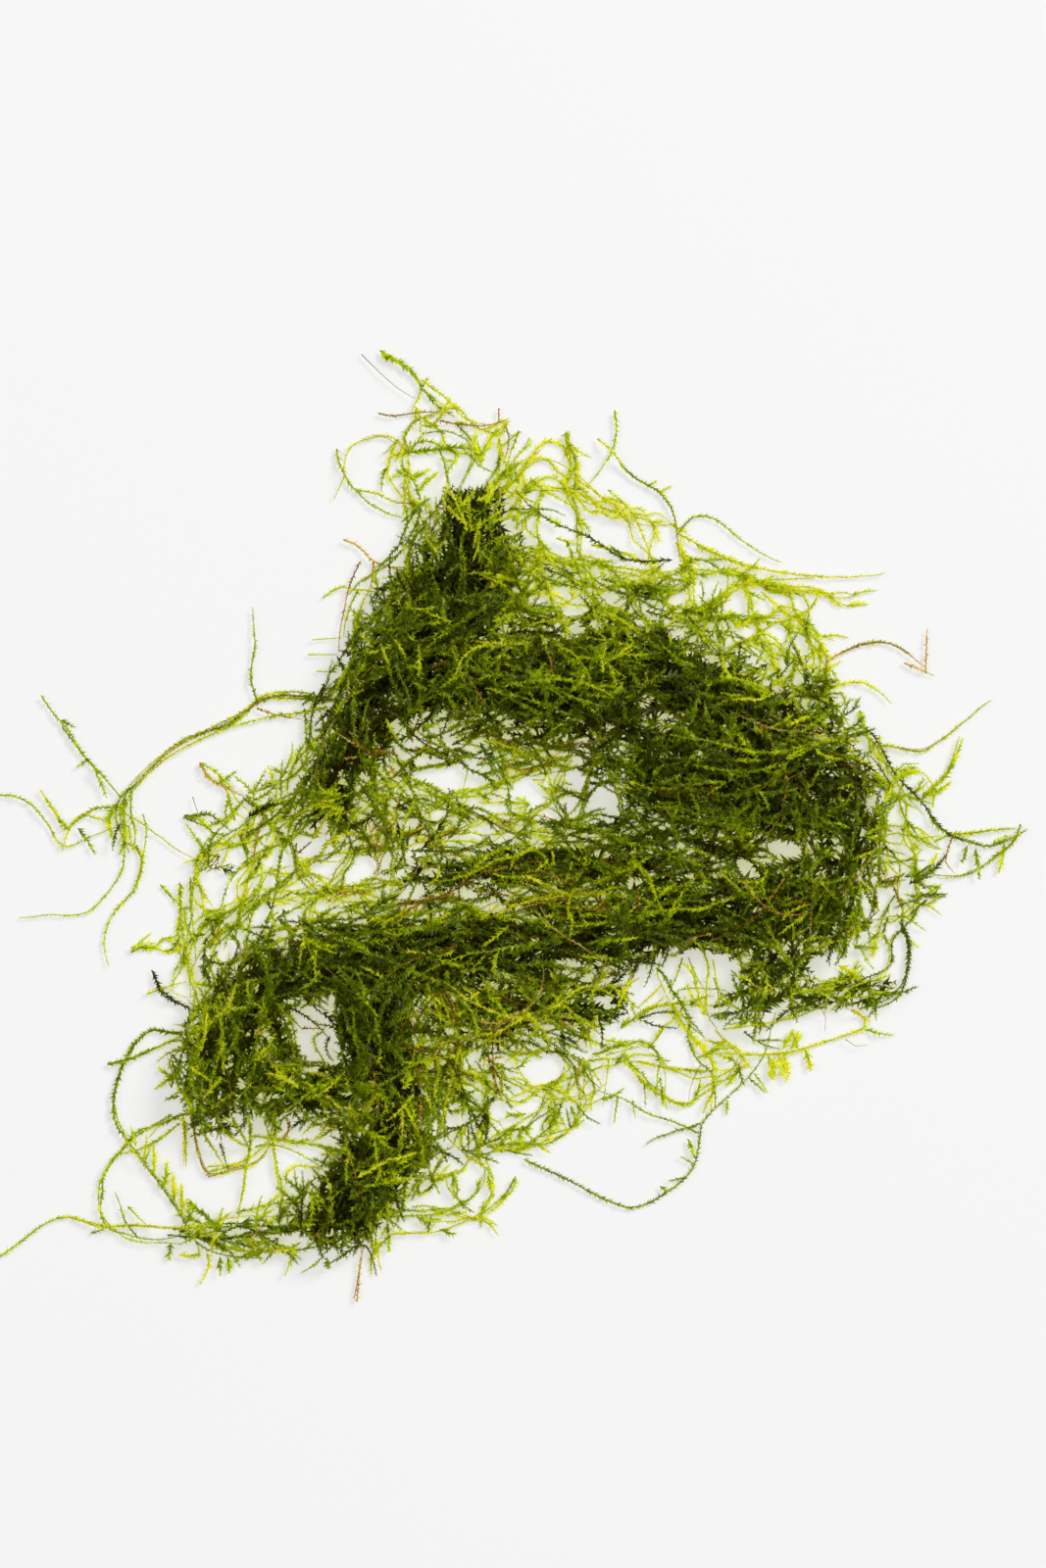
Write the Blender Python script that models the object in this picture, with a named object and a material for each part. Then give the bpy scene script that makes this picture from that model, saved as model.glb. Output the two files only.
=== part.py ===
"""A clump of long-stemmed aquatic moss, lying wet and loose on a table.

Nothing holds the clump together but its own stems.  It is modelled as the tangle grows:
  limbs   thick ropes of matted stems, flat underneath, split at the main forks,
  nets    open lace where single stems cross and cling to each other,
  shoots  single leafy stems that trail free of the tangle, with their side branches.
Each is a closed solid of its own.  Where two meet, the later one stops a hair short
of the earlier one, as one wet stem lies against another.

Units are metres, +Z is up, and the clump rests on z = 0.  Routes are in millimetres
from the middle of the clump's outline, +X to the right and +Y up as seen from above.
"""

import math

import bmesh
import bpy
from mathutils import Vector

MM = 0.001

# Driving dimensions, in millimetres.
CLEARANCE = 0.4        # air left between one piece and the next
LIMB_STEP = 7.0        # spacing of the cross-sections along a limb
STEM_STEP = 2.0        # spacing of the points tried along a stem
STEM_BEND = 25.0       # a stem gets a cross-section each time it has turned this far, degrees
STEM_SPAN = 13.0       # and at least this often along a straight stretch
BRANCH_RADIUS = 0.7    # side branches of a shoot
TIP_TAPER = 0.55       # radius at a stem's tip, as a share of its full radius
TIP_LENGTH = 0.8       # how far a stem's pointed end reaches past its last section
LIMB_TIP_LENGTH = 2.0  # how far a limb's rounded end reaches past its last section
LIMB_TIP_HEIGHT = 0.4  # height of that end's point, as a share of the limb's height there

# A limb's cross-section: a low mound with a few ropy ridges that wind along it.
LIMB_SIDES = 12
LIMB_MIDDLE = 0.30     # height of the section's centre, as a share of its full height
RIDGES = 4
RIDGE_DEPTH = 0.17     # ridge height, as a share of the section's radius
RIDGE_PITCH = 75.0     # length along the limb for one full wind of the ridges
SWELL = 0.07           # how much a limb swells and narrows along its length, as a share
SWELL_PITCH = 17.0     # length of one swelling
STEM_SIDES = 4
FLAT_ANGLE = math.radians(1.0)  # faces that meet flatter than this become one face

# Thick limbs: points (x, y, half width, height).
LIMBS = {
    "tower": [
        (-6.5, 57, 5.5, 5), (-7, 50, 7.5, 8), (-9, 41, 9.5, 11), (-13.5, 32, 12.5, 13),
        (-19.5, 23.5, 10.5, 13), (-26, 16.5, 6.5, 10), (-29.5, 10, 6, 9), (-31, 4.5, 5.5, 7),
        (-31, -1, 4, 4),
    ],
    "upper_band": [
        (-12, 27, 8, 10), (-0.5, 25, 9, 10), (11, 23, 9.5, 11), (21, 22.5, 10.5, 12),
    ],
    "north_shoulder": [
        (11, 32, 5.5, 6), (21, 29, 7, 8), (32, 23, 7, 10), (42, 17.5, 6, 10), (50.5, 15, 5, 8),
    ],
    "east_mass": [
        (19.5, 9, 7.5, 9), (31, 9, 12.5, 13), (44, 8, 14, 14), (53.5, 6, 10.5, 12), (58.5, 3, 6.5, 8),
    ],
    "east_shoulder": [
        (57, 3.5, 6.5, 10), (57, -6, 5.5, 10), (56, -14.5, 5.5, 9), (53, -20, 4.5, 7),
    ],
    "middle_band_east": [
        (54, -11, 7.5, 9), (43, -14, 7.5, 10), (29.5, -14.5, 7, 10), (18, -17, 7.5, 11),
    ],
    "middle_band_west": [
        (18, -18, 7.5, 11), (3, -20, 7.5, 11), (-12, -21.5, 7.5, 12), (-25.5, -22.5, 7.5, 12),
        (-37, -23.5, 6.5, 10),
    ],
    "central_rope": [
        (28, -5, 5.5, 8), (16, -6, 4, 6), (4, -7, 3.5, 5), (-9, -8, 3.5, 5), (-19, -8.5, 3.5, 5),
    ],
    "west_lobe": [
        (-37, -23.5, 6, 9), (-43, -28.5, 7.5, 9), (-47, -35.5, 9, 10), (-48.5, -43, 8.5, 10),
        (-48, -49, 6, 7),
    ],
    "ring_bar": [
        (-43.5, -46, 5.5, 7), (-35.5, -45, 5.5, 7), (-26, -46, 5.5, 8),
    ],
    "column": [
        (-23, -23.5, 7.5, 12), (-22.5, -33, 7.5, 13), (-21, -42, 7, 12), (-20, -50.5, 6.5, 11),
    ],
    "tail": [
        (-19, -49.5, 8.5, 10), (-22, -56, 7.5, 10), (-27.5, -63, 7.5, 10), (-31, -68, 6.5, 8),
        (-32.5, -71, 4, 4),
    ],
    "tail_runner": [
        (-59, -68.5, 2, 3), (-53, -69.5, 3, 4), (-44.5, -69, 3.5, 4), (-37, -69.5, 3, 5),
        (-30, -69.5, 2.5, 5),
    ],
    "south_mat": [
        (-14, -29.5, 5.5, 7), (-2, -30.5, 6.5, 6), (9, -31, 5.5, 5), (19, -29.5, 3.5, 4),
    ],
    "southeast_mass": [
        (46, -18, 8.5, 9), (44.5, -23.5, 7.5, 9), (41, -29, 5.5, 7), (36.5, -33, 2.5, 4),
    ],
    "southeast_wing": [
        (46, -28, 3, 4), (54.5, -29, 3.5, 4), (62, -28, 3, 4), (65, -27, 1.5, 3),
    ],
}

# Short sprigs that hang from a limb's edge: (radius, route).
LIMB_SPRIGS = {
    "tail_runner": [
        (0.8, [(-52.5, -70), (-51.5, -74.5), (-53, -77.5)]),
        (0.7, [(-49.5, -70), (-49.5, -75.5)]),
        (0.8, [(-38, -70.5), (-38.5, -75.5)]),
        (0.8, [(-31.5, -70.5), (-33, -74), (-35.5, -75.5)]),
        (0.8, [(-58, -69), (-58.5, -73)]),
    ],
}

# Nets of crossing stems: each stem is (radius, route).
NETS = {
    "peak_lace": [
        (1, [(-16, 71), (-18, 67), (-18, 62), (-17, 57), (-15.5, 51.5), (-13, 47)]),
        (0.9, [(-14, 70), (-12, 64.5), (-11, 60.5), (-10, 56.5), (-8, 52)]),
        (0.9, [
            (-16, 69.5), (-10, 70.5), (-4, 68), (-1, 68.5), (-0.5, 64.5), (-2, 60.5), (-3, 54),
        ]),
        (0.9, [(-17.5, 63.5), (-12.5, 64), (-8, 64), (-5, 62), (-2, 61)]),
        (0.8, [(-9.5, 69), (-7, 64.5), (-8, 59.5), (-10, 55.5)]),
        (0.8, [(3, 66), (1, 63), (-2, 59.5), (-4, 54)]),
        (0.7, [(-20, 66), (-21, 62), (-20, 59), (-16.5, 56)]),
    ],
    "north_lace_west": [
        (1, [
            (-2, 56.5), (2, 60.5), (6, 62.5), (10, 60.5), (14, 57), (18, 53), (22, 49), (25, 44.5),
            (27, 39.5),
        ]),
        (1, [(-0.5, 52), (4, 56.5), (9, 56.5), (14.5, 54), (20.5, 51.5), (27, 50.5)]),
        (0.8, [(10, 67), (10.5, 62), (11, 55.5), (12, 47), (13.5, 40.5), (15, 34)]),
        (1.2, [(-3, 48), (4.5, 47), (13, 45), (20.5, 42.5), (28, 40)]),
        (1.1, [(-4, 41), (5.5, 39.5), (14, 38), (22, 37)]),
        (0.9, [(4, 57.5), (4, 50.5), (5, 44), (6, 36.5)]),
    ],
    "north_lace_east": [
        (0.9, [(28, 48.5), (30, 43), (31, 37), (33, 31.5)]),
        (1, [(28, 43), (35, 43), (41, 41.5), (47, 38.5), (50.5, 33), (54, 25.5)]),
        (1.2, [(26, 37), (35, 38.5), (41, 42)]),
        (1, [(29.5, 34), (37, 35), (44.5, 35), (49, 32), (52, 26.5), (54.5, 21.5)]),
        (0.9, [(37, 28.5), (41.5, 32), (46, 30.5), (50, 25.5)]),
        (0.9, [(38, 42), (40, 36.5), (42, 31.5), (45, 24)]),
        (0.8, [(42.5, 41), (49.5, 40), (54.5, 39), (58.5, 39)]),
    ],
    "west_web": [
        (1.2, [
            (-29, 6), (-36, 5), (-43, 2.5), (-48.5, -1), (-52.5, -6), (-54.5, -12), (-55, -19.5),
            (-54, -28), (-51, -33),
        ]),
        (1, [
            (-29, 2.5), (-35.5, -0.5), (-40.5, -3.5), (-46, -8.5), (-50, -14), (-53, -20),
        ]),
        (1.2, [
            (-20.5, 0), (-27, -2), (-33.5, -5.5), (-37.5, -8), (-42.5, -12), (-47, -16.5),
            (-51, -21.5), (-52.5, -28),
        ]),
        (0.9, [(-57, -10), (-56.5, -16), (-56, -22), (-53.5, -28)]),
        (0.9, [(-45.5, 5), (-41, 1), (-37.5, -3), (-36.5, -8), (-33, -11.5)]),
        (1.1, [(-18.5, -9), (-26, -10), (-33, -11), (-39.5, -10.5)]),
        (0.9, [(-27, -3), (-29.5, -8), (-33, -12), (-34, -16), (-33.5, -22)]),
        (0.9, [(-53, 11), (-51.5, 8), (-48, 6), (-43.5, 2)]),
        (0.8, [(-56, 1.5), (-53, 0.5), (-48, -1)]),
        (0.5, [(-65, -20.5), (-60.5, -21), (-55.5, -20.5)]),
    ],
    "central_web": [
        (1, [(-21, 13), (-18, 7), (-15.5, 2), (-14, -3), (-13, -8)]),
        (1, [(-17.5, 7), (-11, 4), (-4, 1), (1.5, 0), (5.5, 3), (8.5, 7), (10.5, 13)]),
        (1, [(-15, 2.5), (-9, 5), (-5, 6), (1.5, 9), (8, 11.5)]),
        (0.9, [(-25, 7), (-22, 2), (-20, -3), (-19, -8)]),
        (1, [(-20, -1), (-13, -2.5), (-5.5, -2.5), (0, -0.5)]),
        (0.9, [(2, 0), (4, -3), (6, -7.5)]),
        (0.9, [(13.5, 13), (12.5, 7), (10.5, 1), (12.5, -6)]),
        (0.9, [(21, 2.5), (16.5, -0.5), (11, 0), (4.5, 3.5)]),
        (0.9, [(-3, 15), (-1, 10), (-1.5, 7)]),
    ],
    "east_fringe": [
        (1.1, [
            (61, 9.5), (64, 6.5), (66.5, 1), (68.5, -4.5), (69, -10.5), (66, -15), (61.5, -17.5),
        ]),
        (1, [(58, 18), (61.5, 15.5), (63.5, 12), (65, 9), (68, 6), (70.5, 3)]),
        (1, [(61, 3), (63.5, -2.5), (65, -8), (65, -13.5)]),
        (0.9, [(59.5, -1.5), (65, -1), (69.5, -2.5), (72.5, -3.5)]),
        (1, [(60, -6.5), (65, -6.5), (70, -6)]),
        (0.9, [(61, 2.5), (65.5, 5), (69, 6)]),
        (0.9, [(68, -12), (71, -11.5), (73.5, -11.5)]),
    ],
    "south_fringe": [
        (1.2, [
            (-7.5, -40.5), (-4, -41.5), (0, -43.5), (4, -45), (9, -46), (13, -45.5), (16, -44),
        ]),
        (1.1, [(-9, -54), (-3.5, -53), (0, -51), (4, -49), (8, -46.5)]),
        (1, [
            (-4.5, -55), (-0.5, -55.5), (3, -54.5), (7, -52.5), (10.5, -51), (13, -48), (12.5, -45),
        ]),
        (1, [(1, -51), (1.5, -55)]),
        (1.2, [(7, -37.5), (10.5, -40), (13, -42.5), (15, -45)]),
        (1, [(6.5, -47.5), (6.5, -52.5)]),
        (1, [(-1, -34.5), (3, -36.5), (7, -37.5)]),
    ],
    "tail_fringe": [
        (1.2, [
            (-19, -43.5), (-12, -41), (-6, -42), (-4, -47.5), (-4.5, -53.5), (-4, -58.5), (-4, -63),
            (-6, -66), (-11, -68.5), (-15.5, -69), (-21, -69),
        ]),
        (1, [(-16, -59.5), (-13, -59.5), (-10, -59), (-7.5, -58), (-7, -56), (-5, -54)]),
        (0.9, [(-22, -66.5), (-14, -66), (-9, -64.5), (-5.5, -61.5), (-4, -59)]),
        (0.9, [(0.5, -60), (-0.5, -61.5), (-4, -64.5)]),
        (0.9, [(-12, -59.5), (-10.5, -62), (-7.5, -64)]),
        (0.8, [(-11, -65.5), (-6.5, -66.5), (-2.5, -67.5)]),
        (0.9, [(-21, -69), (-23, -71), (-24, -73.5), (-23, -76)]),
        (0.9, [(-12, -41), (-10, -45), (-9.5, -50), (-8, -54.5), (-7, -56.5)]),
    ],
    "southeast_lace": [
        (1, [
            (13.5, -40), (19.5, -39.5), (24.5, -40.5), (30, -41.5), (35.5, -41.5), (39.5, -41),
        ]),
        (0.9, [
            (18, -39), (21, -43), (25, -45.5), (29, -47.5), (32, -46), (34.5, -44), (37, -42.5),
        ]),
        (1.2, [(25.5, -23.5), (28, -31), (31, -36), (33, -40), (34, -43), (33, -47.5)]),
        (0.9, [(13.5, -37), (21, -37), (24, -38), (26, -41), (26, -43.5), (26, -46)]),
        (0.9, [(30, -19.5), (31.5, -25), (34.5, -30), (36, -34)]),
        (0.9, [(18, -33), (23, -31), (29, -30), (35, -29)]),
        (1, [(31.5, -38), (36, -38.5), (40, -39)]),
    ],
}

# Free shoots: (radius, route, side branches).  A third number in a route point is the
# height of the stem's middle there, where it passes over another stem.
SHOOTS = {
    "peak_crest_shoot": (0.9, [
        (-22.5, 81), (-19.5, 79), (-17, 77), (-15.5, 74.5), (-12.5, 72), (-10, 71),
    ], [
        [(-15.5, 74.5), (-14, 76)],
    ]),
    "peak_loop_shoot": (0.6, [
        (-17, 63.5), (-20, 65.5), (-23, 66.5), (-25.5, 66), (-27.5, 64), (-28.5, 61, 2.4), (-29, 58),
        (-30, 55.5),
    ], []),
    "peak_side_shoot": (0.6, [
        (-30, 64), (-29, 62), (-28, 58.5), (-25.5, 56), (-22.5, 53.5), (-17, 52),
    ], []),
    "orange_twig": (0.7, [
        (-29, 48.5), (-26.5, 47.5), (-24, 45.5), (-21, 44.5), (-17, 44),
    ], [
        [(-23.5, 45), (-24, 42), (-24.5, 39)],
    ]),
    "tower_side_shoot": (0.8, [
        (-32, 38.5), (-29.5, 40.5), (-26, 40), (-22, 39.5),
    ], [
        [(-26, 40), (-27.5, 37), (-29, 32.5)],
    ]),
    "north_spire_shoot": (0.9, [
        (17.5, 70.5), (18, 67), (17, 64), (15, 60.5), (13, 58),
    ], []),
    "north_arch_shoot": (0.8, [
        (14.5, 66), (17, 63.5, 2.6), (19.5, 60.5), (23, 58), (25.5, 56.5), (27.5, 53), (28, 50.5),
    ], [
        [(23, 58), (24.5, 58.5)],
        [(25, 56.5), (27, 57.5)],
    ]),
    "north_runner_shoot": (0.8, [
        (28, 50), (31.5, 48), (36.5, 45.5), (42, 43.5), (49.5, 42.5), (56, 42.5), (61, 42.5), (63, 43),
    ], [
        [(28, 50), (30.5, 52.5), (34, 52), (38, 49), (42, 46.5), (46, 45)],
    ]),
    "orange_tipped_sprig": (0.7, [
        (53, 28), (56.5, 29.5), (60, 31), (64, 31), (67, 29.5), (70, 26.5),
    ], [
        [(66.5, 28), (69, 27), (71.5, 25.5)],
        [(70.5, 26.5), (70.5, 30), (70.5, 33.5)],
    ]),
    "right_curl_shoot": (0.6, [
        (54, 23), (57, 24.5), (59.5, 24.5), (62, 23), (64, 21),
    ], []),
    "east_high_runner": (0.7, [
        (62, 13.5), (65, 13.5), (69, 13), (72.5, 14.5), (77, 17.5), (81, 21.5),
    ], []),
    "east_feather_shoot": (1, [
        (69, 5), (71.5, 7), (74, 9), (75, 12), (76.5, 14.5),
    ], [
        [(69.5, 5), (72, 6), (74.5, 7.5)],
    ]),
    "east_long_stem": (0.8, [
        (71, 2), (72, 0), (74.5, -1.5), (78, -2.5), (81, -3.5), (84.5, -2, 2.6), (87, -0.5, 2),
    ], [
        [(74, -1.5), (78, -1), (81.5, -0.5), (85, -0.5)],
    ]),
    "east_low_arc": (0.8, [
        (86.5, 0.5, 0.8), (85.5, -2), (83.5, -4), (80.5, -6), (77.5, -8), (74, -8.5), (70, -8),
    ], []),
    "east_lower_loop": (0.9, [
        (66, -15.5), (67, -18.5), (67, -22), (67, -25.5), (65.5, -27.5), (63, -29),
    ], [
        [(67, -17.5), (65, -18.5), (64, -21), (64, -23), (62, -25), (59, -26.5), (55.5, -28)],
    ]),
    "fern_shoot": (1, [
        (57, -31), (60, -33), (59.5, -34.5), (56, -35.5), (51, -37.5), (46, -38.5), (41.5, -39),
    ], [
        [(48.5, -38), (47.5, -35)],
        [(49.5, -38), (50.5, -40.5)],
        [(46, -38.5), (46.5, -42.5)],
        [(43.5, -39), (44.5, -42.5)],
        [(60, -34.5), (64, -36)],
    ]),
    "long_loop_shoot": (0.8, [
        (2, -56.5), (6, -58.5), (11, -61), (16.5, -63.5), (20.5, -64.5), (25, -63), (29, -60),
        (31, -57), (32, -53), (32.5, -50), (36, -46.5), (40, -42.5), (43, -38.5, 3), (44.5, -32),
    ], [
        [(31, -56.5), (30, -53)],
        [(31, -57.5), (29, -56)],
        [(29.5, -59.5), (26.5, -60)],
        [(40, -42.5), (43, -45)],
        [(36.5, -46.5), (36.5, -49)],
        [(32, -50.5), (27, -52), (23, -54)],
        [(32, -52), (26.5, -50), (22, -48.5), (18, -46), (14.5, -45)],
    ]),
    "tail_drip_shoot": (0.5, [
        (-26.5, -80.5), (-26, -77), (-26, -74), (-26, -70),
    ], []),
    "west_loop_shoot": (0.8, [
        (-54, -48.5), (-58, -49.5), (-61, -51), (-65, -53.5), (-68.5, -57.5), (-70, -62), (-69.5, -66),
        (-67, -68.5), (-62.5, -70), (-57, -70),
    ], [
        [(-63.5, -70), (-65.5, -68), (-67, -65.5), (-67.5, -62.5)],
    ]),
    "west_frond": (0.8, [
        (-54, -34.5), (-57.5, -35), (-61.5, -34.5), (-64.5, -37.5), (-67, -42.5), (-68, -47),
        (-65.5, -53, 2.8), (-62.5, -57), (-58, -63), (-54.5, -68.5),
    ], [
        [(-60.5, -59.5), (-61, -54.5)],
        [(-59, -61.5), (-58.5, -57.5)],
        [(-57.5, -63.5), (-57.5, -60)],
        [(-56, -66), (-56, -61.5)],
    ]),
    "far_thread_shoot": (0.6, [
        (-87, -73), (-84, -71), (-80, -68), (-76, -66.5), (-72.5, -67), (-68.5, -68, 2.8),
        (-65, -67.5), (-60, -68), (-55.5, -68),
    ], []),
    "upper_leaf_shoot": (1, [
        (-69, -40.5), (-65.5, -39.5, 2.8), (-62, -38), (-58, -36.5), (-54, -36),
    ], []),
    "hanging_loop_shoot": (0.7, [
        (-54, -49.5), (-53, -55), (-51.5, -59), (-48, -58.5), (-44, -57.5), (-41.5, -54), (-42, -49),
    ], []),
    "hanging_side_shoot": (0.7, [
        (-40, -48), (-40.5, -55), (-39.5, -61), (-38, -68),
    ], []),
    "hanging_middle_shoot": (0.8, [
        (-44.5, -48.5), (-44.5, -53.5), (-45, -58, 2.6), (-46, -63), (-46.5, -67.5),
    ], []),
    "west_runner": (1.3, [
        (-29, 22), (-35.5, 22), (-42.5, 21), (-48, 18), (-54, 15), (-59.5, 12), (-64, 8), (-66, 4.5),
        (-66, 0),
    ], [
        [(-43.5, 21), (-44, 25.5), (-44, 32), (-44, 37)],
    ]),
    "west_diagonal_shoot": (0.9, [
        (-80, 22.5), (-77.5, 18.5), (-74, 14), (-70, 9.5), (-66.5, 5),
    ], [
        [(-77, 17.5), (-74.5, 17)],
        [(-72, 11.5), (-74, 10.5)],
    ]),
    "far_west_shoot": (0.9, [
        (-87, 5.5), (-84, 5), (-81, 2.5), (-78.5, -0.5), (-76, -3.5), (-72, -1.5), (-66.5, 0),
    ], []),
    "west_arm_shoot": (0.9, [
        (-66, 3), (-71, 3), (-74, 1), (-76, -0.5), (-78, 3), (-80, 6),
    ], []),
    "west_tails": (0.9, [
        (-66, -1), (-66, -5), (-67.5, -10), (-71, -13.5), (-75, -15), (-79.5, -15), (-84, -15.5),
    ], [
        [
            (-66, -2.5), (-63.5, -4), (-63, -7), (-64.5, -11), (-67.5, -14.5), (-69, -19),
            (-69, -22), (-68.5, -23.5),
        ],
    ]),
    "thin_link_shoot": (0.5, [
        (-66, 2.5), (-62.5, 0.5), (-59.5, -2.5), (-56, -5), (-52.5, -6),
    ], []),
    "dark_bit_thread": (0.6, [
        (-61.5, -24.5), (-60, -28), (-57.5, -30), (-53.5, -31),
    ], []),
}

# Surface finish of each kind of growth: base colour and roughness.
FINISHES = {
    "old": ((0.030, 0.045, 0.010), 0.55),
    "grown": ((0.060, 0.095, 0.016), 0.5),
    "young": ((0.300, 0.360, 0.050), 0.45),
    "dry": ((0.260, 0.150, 0.040), 0.6),
}
DRY_PIECES = ("orange_twig", "orange_tipped_sprig", "dark_bit_thread")
GROWN_PIECES = ("tail_runner", "south_mat", "southeast_wing", "ring_bar", "peak_lace", "west_runner")


def clear_scene():
    """Start from an empty scene."""
    for thing in list(bpy.data.objects):
        bpy.data.objects.remove(thing, do_unlink=True)


def curve_through(points, step):
    """Sample a smooth curve through the points, about one step apart."""
    samples = []
    last = len(points) - 1
    for index in range(last):
        before = points[max(index - 1, 0)]
        start = points[index]
        end = points[index + 1]
        after = points[min(index + 2, last)]
        length = math.hypot(end[0] - start[0], end[1] - start[1])
        count = max(1, round(length / step))
        for part in range(count):
            t = part / count
            weights = (
                -0.5 * t + t * t - 0.5 * t ** 3,
                1.0 - 2.5 * t * t + 1.5 * t ** 3,
                0.5 * t + 2.0 * t * t - 1.5 * t ** 3,
                -0.5 * t * t + 0.5 * t ** 3,
            )
            samples.append(tuple(
                weights[0] * a + weights[1] * b + weights[2] * c + weights[3] * d
                for a, b, c, d in zip(before, start, end, after)
            ))
    samples.append(tuple(points[last]))
    return samples


def spaced_by_bend(samples):
    """Keep the samples where the curve has turned enough, or has run straight long enough."""
    kept = [samples[0]]
    turned = 0.0
    for before, here, after in zip(samples, samples[1:], samples[2:]):
        arriving = math.atan2(here[1] - before[1], here[0] - before[0])
        leaving = math.atan2(after[1] - here[1], after[0] - here[0])
        turned += abs(math.degrees(math.remainder(leaving - arriving, 2 * math.pi)))
        turned += math.degrees(abs(after[2] - here[2])) / STEM_STEP
        if turned >= STEM_BEND or math.dist(here[:2], kept[-1][:2]) >= STEM_SPAN:
            kept.append(here)
            turned = 0.0
    if len(kept) > 1 and math.dist(kept[-1][:2], samples[-1][:2]) < 2 * STEM_STEP:
        kept.pop()
    kept.append(samples[-1])
    return kept


def along_and_across(samples, index):
    """Return the unit directions along a curve and level across it."""
    before = samples[max(index - 1, 0)]
    after = samples[min(index + 1, len(samples) - 1)]
    along = Vector((after[0] - before[0], after[1] - before[1], 0)).normalized()
    return along, Vector((-along.y, along.x, 0))


def closed_tube(name, rings, start_tip, end_tip):
    """Join rings of points, given in millimetres, into one closed tube with two pointed ends."""
    mesh_builder = bmesh.new()
    loops = [[mesh_builder.verts.new(point * MM) for point in ring] for ring in rings]
    first = mesh_builder.verts.new(start_tip * MM)
    final = mesh_builder.verts.new(end_tip * MM)
    sides = len(loops[0])
    for side in range(sides):
        nearby = (side + 1) % sides
        mesh_builder.faces.new((first, loops[0][nearby], loops[0][side]))
        mesh_builder.faces.new((final, loops[-1][side], loops[-1][nearby]))
        for here, there in zip(loops, loops[1:]):
            mesh_builder.faces.new((here[side], here[nearby], there[nearby]))
            mesh_builder.faces.new((here[side], there[nearby], there[side]))
    bmesh.ops.recalc_face_normals(mesh_builder, faces=mesh_builder.faces)
    mesh = bpy.data.meshes.new(name)
    mesh_builder.to_mesh(mesh)
    mesh_builder.free()
    piece = bpy.data.objects.new(name, mesh)
    bpy.context.scene.collection.objects.link(piece)
    return piece


def limb_section(centre, across, half_width, height, wind, grown):
    """Points of one mound-shaped cross-section, flat where it meets the table."""
    points = []
    for side in range(LIMB_SIDES):
        angle = 2 * math.pi * side / LIMB_SIDES
        ridge = 1 + RIDGE_DEPTH * math.cos(RIDGES * (angle + wind))
        outward = (half_width * ridge + grown) * math.cos(angle)
        middle = LIMB_MIDDLE * height
        rise = middle + ((height - middle) * ridge + grown) * math.sin(angle)
        point = centre + across * outward
        point.z = max(rise, -grown)
        points.append(point)
    return points


def limb(name, route, grown=0.0):
    """One rope of matted stems along its route; grown makes it that much fatter all round."""
    samples = curve_through(route, LIMB_STEP)
    rings = []
    travelled = 0.0
    for index, (x, y, half_width, height) in enumerate(samples):
        if index:
            travelled += math.dist(samples[index - 1][:2], (x, y))
        wind = 2 * math.pi * travelled / RIDGE_PITCH
        swell = 1 + SWELL * math.sin(2 * math.pi * travelled / SWELL_PITCH)
        across = along_and_across(samples, index)[1]
        centre = Vector((x, y, 0))
        rings.append(limb_section(centre, across, half_width * swell, height * swell, wind, grown))
    tips = []
    for index, direction in ((0, -1), (len(samples) - 1, 1)):
        x, y, half_width, height = samples[index]
        along = along_and_across(samples, index)[0]
        tip = Vector((x, y, 0)) + along * direction * (LIMB_TIP_LENGTH + grown)
        tip.z = height * LIMB_TIP_HEIGHT
        tips.append(tip)
    return closed_tube(name, rings, tips[0], tips[1])


def stem(name, radius, route, grown=0.0):
    """One round stem that lies on the table, or higher where its route says so."""
    raised = [(point[0], point[1], point[2] if len(point) > 2 else radius) for point in route]
    samples = spaced_by_bend(curve_through(raised, STEM_STEP))
    last = len(samples) - 1
    rings = []
    for index, (x, y, z) in enumerate(samples):
        across = along_and_across(samples, index)[1]
        size = radius * (TIP_TAPER if index in (0, last) else 1.0) + grown
        ring = []
        for side in range(STEM_SIDES):
            angle = 2 * math.pi * (side + 0.5) / STEM_SIDES - math.pi / 2
            offset = across * math.cos(angle) * size
            ring.append(Vector((x, y, z)) + offset + Vector((0, 0, math.sin(angle) * size)))
        rings.append(ring)
    tips = []
    for index, direction in ((0, -1), (last, 1)):
        along = along_and_across(samples, index)[0]
        tips.append(Vector(samples[index]) + along * direction * (TIP_LENGTH + grown))
    return closed_tube(name, rings, tips[0], tips[1])


def combine(piece, others, operation):
    """Join the others to the piece, or cut them out of it, and drop the tools."""
    if not others:
        return
    tools = bpy.data.collections.new("tools")
    for other in others:
        bpy.context.scene.collection.objects.unlink(other)
        tools.objects.link(other)
    bpy.context.scene.collection.children.link(tools)
    modifier = piece.modifiers.new(operation.title(), "BOOLEAN")
    modifier.operation = operation
    modifier.solver = "EXACT"
    modifier.operand_type = "COLLECTION"
    modifier.collection = tools
    depsgraph = bpy.context.evaluated_depsgraph_get()
    result = bpy.data.meshes.new_from_object(piece.evaluated_get(depsgraph), depsgraph=depsgraph)
    piece.modifiers.clear()
    piece.data = result
    for other in others:
        bpy.data.objects.remove(other, do_unlink=True)
    bpy.data.collections.remove(tools)


def islands(mesh_builder):
    """Lists of the faces of each separate body in a mesh."""
    groups = []
    unseen = set(mesh_builder.faces)
    while unseen:
        group = [unseen.pop()]
        for face in group:
            for edge in face.edges:
                for nearby in edge.link_faces:
                    if nearby in unseen:
                        unseen.remove(nearby)
                        group.append(nearby)
        groups.append(group)
    return groups


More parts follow.
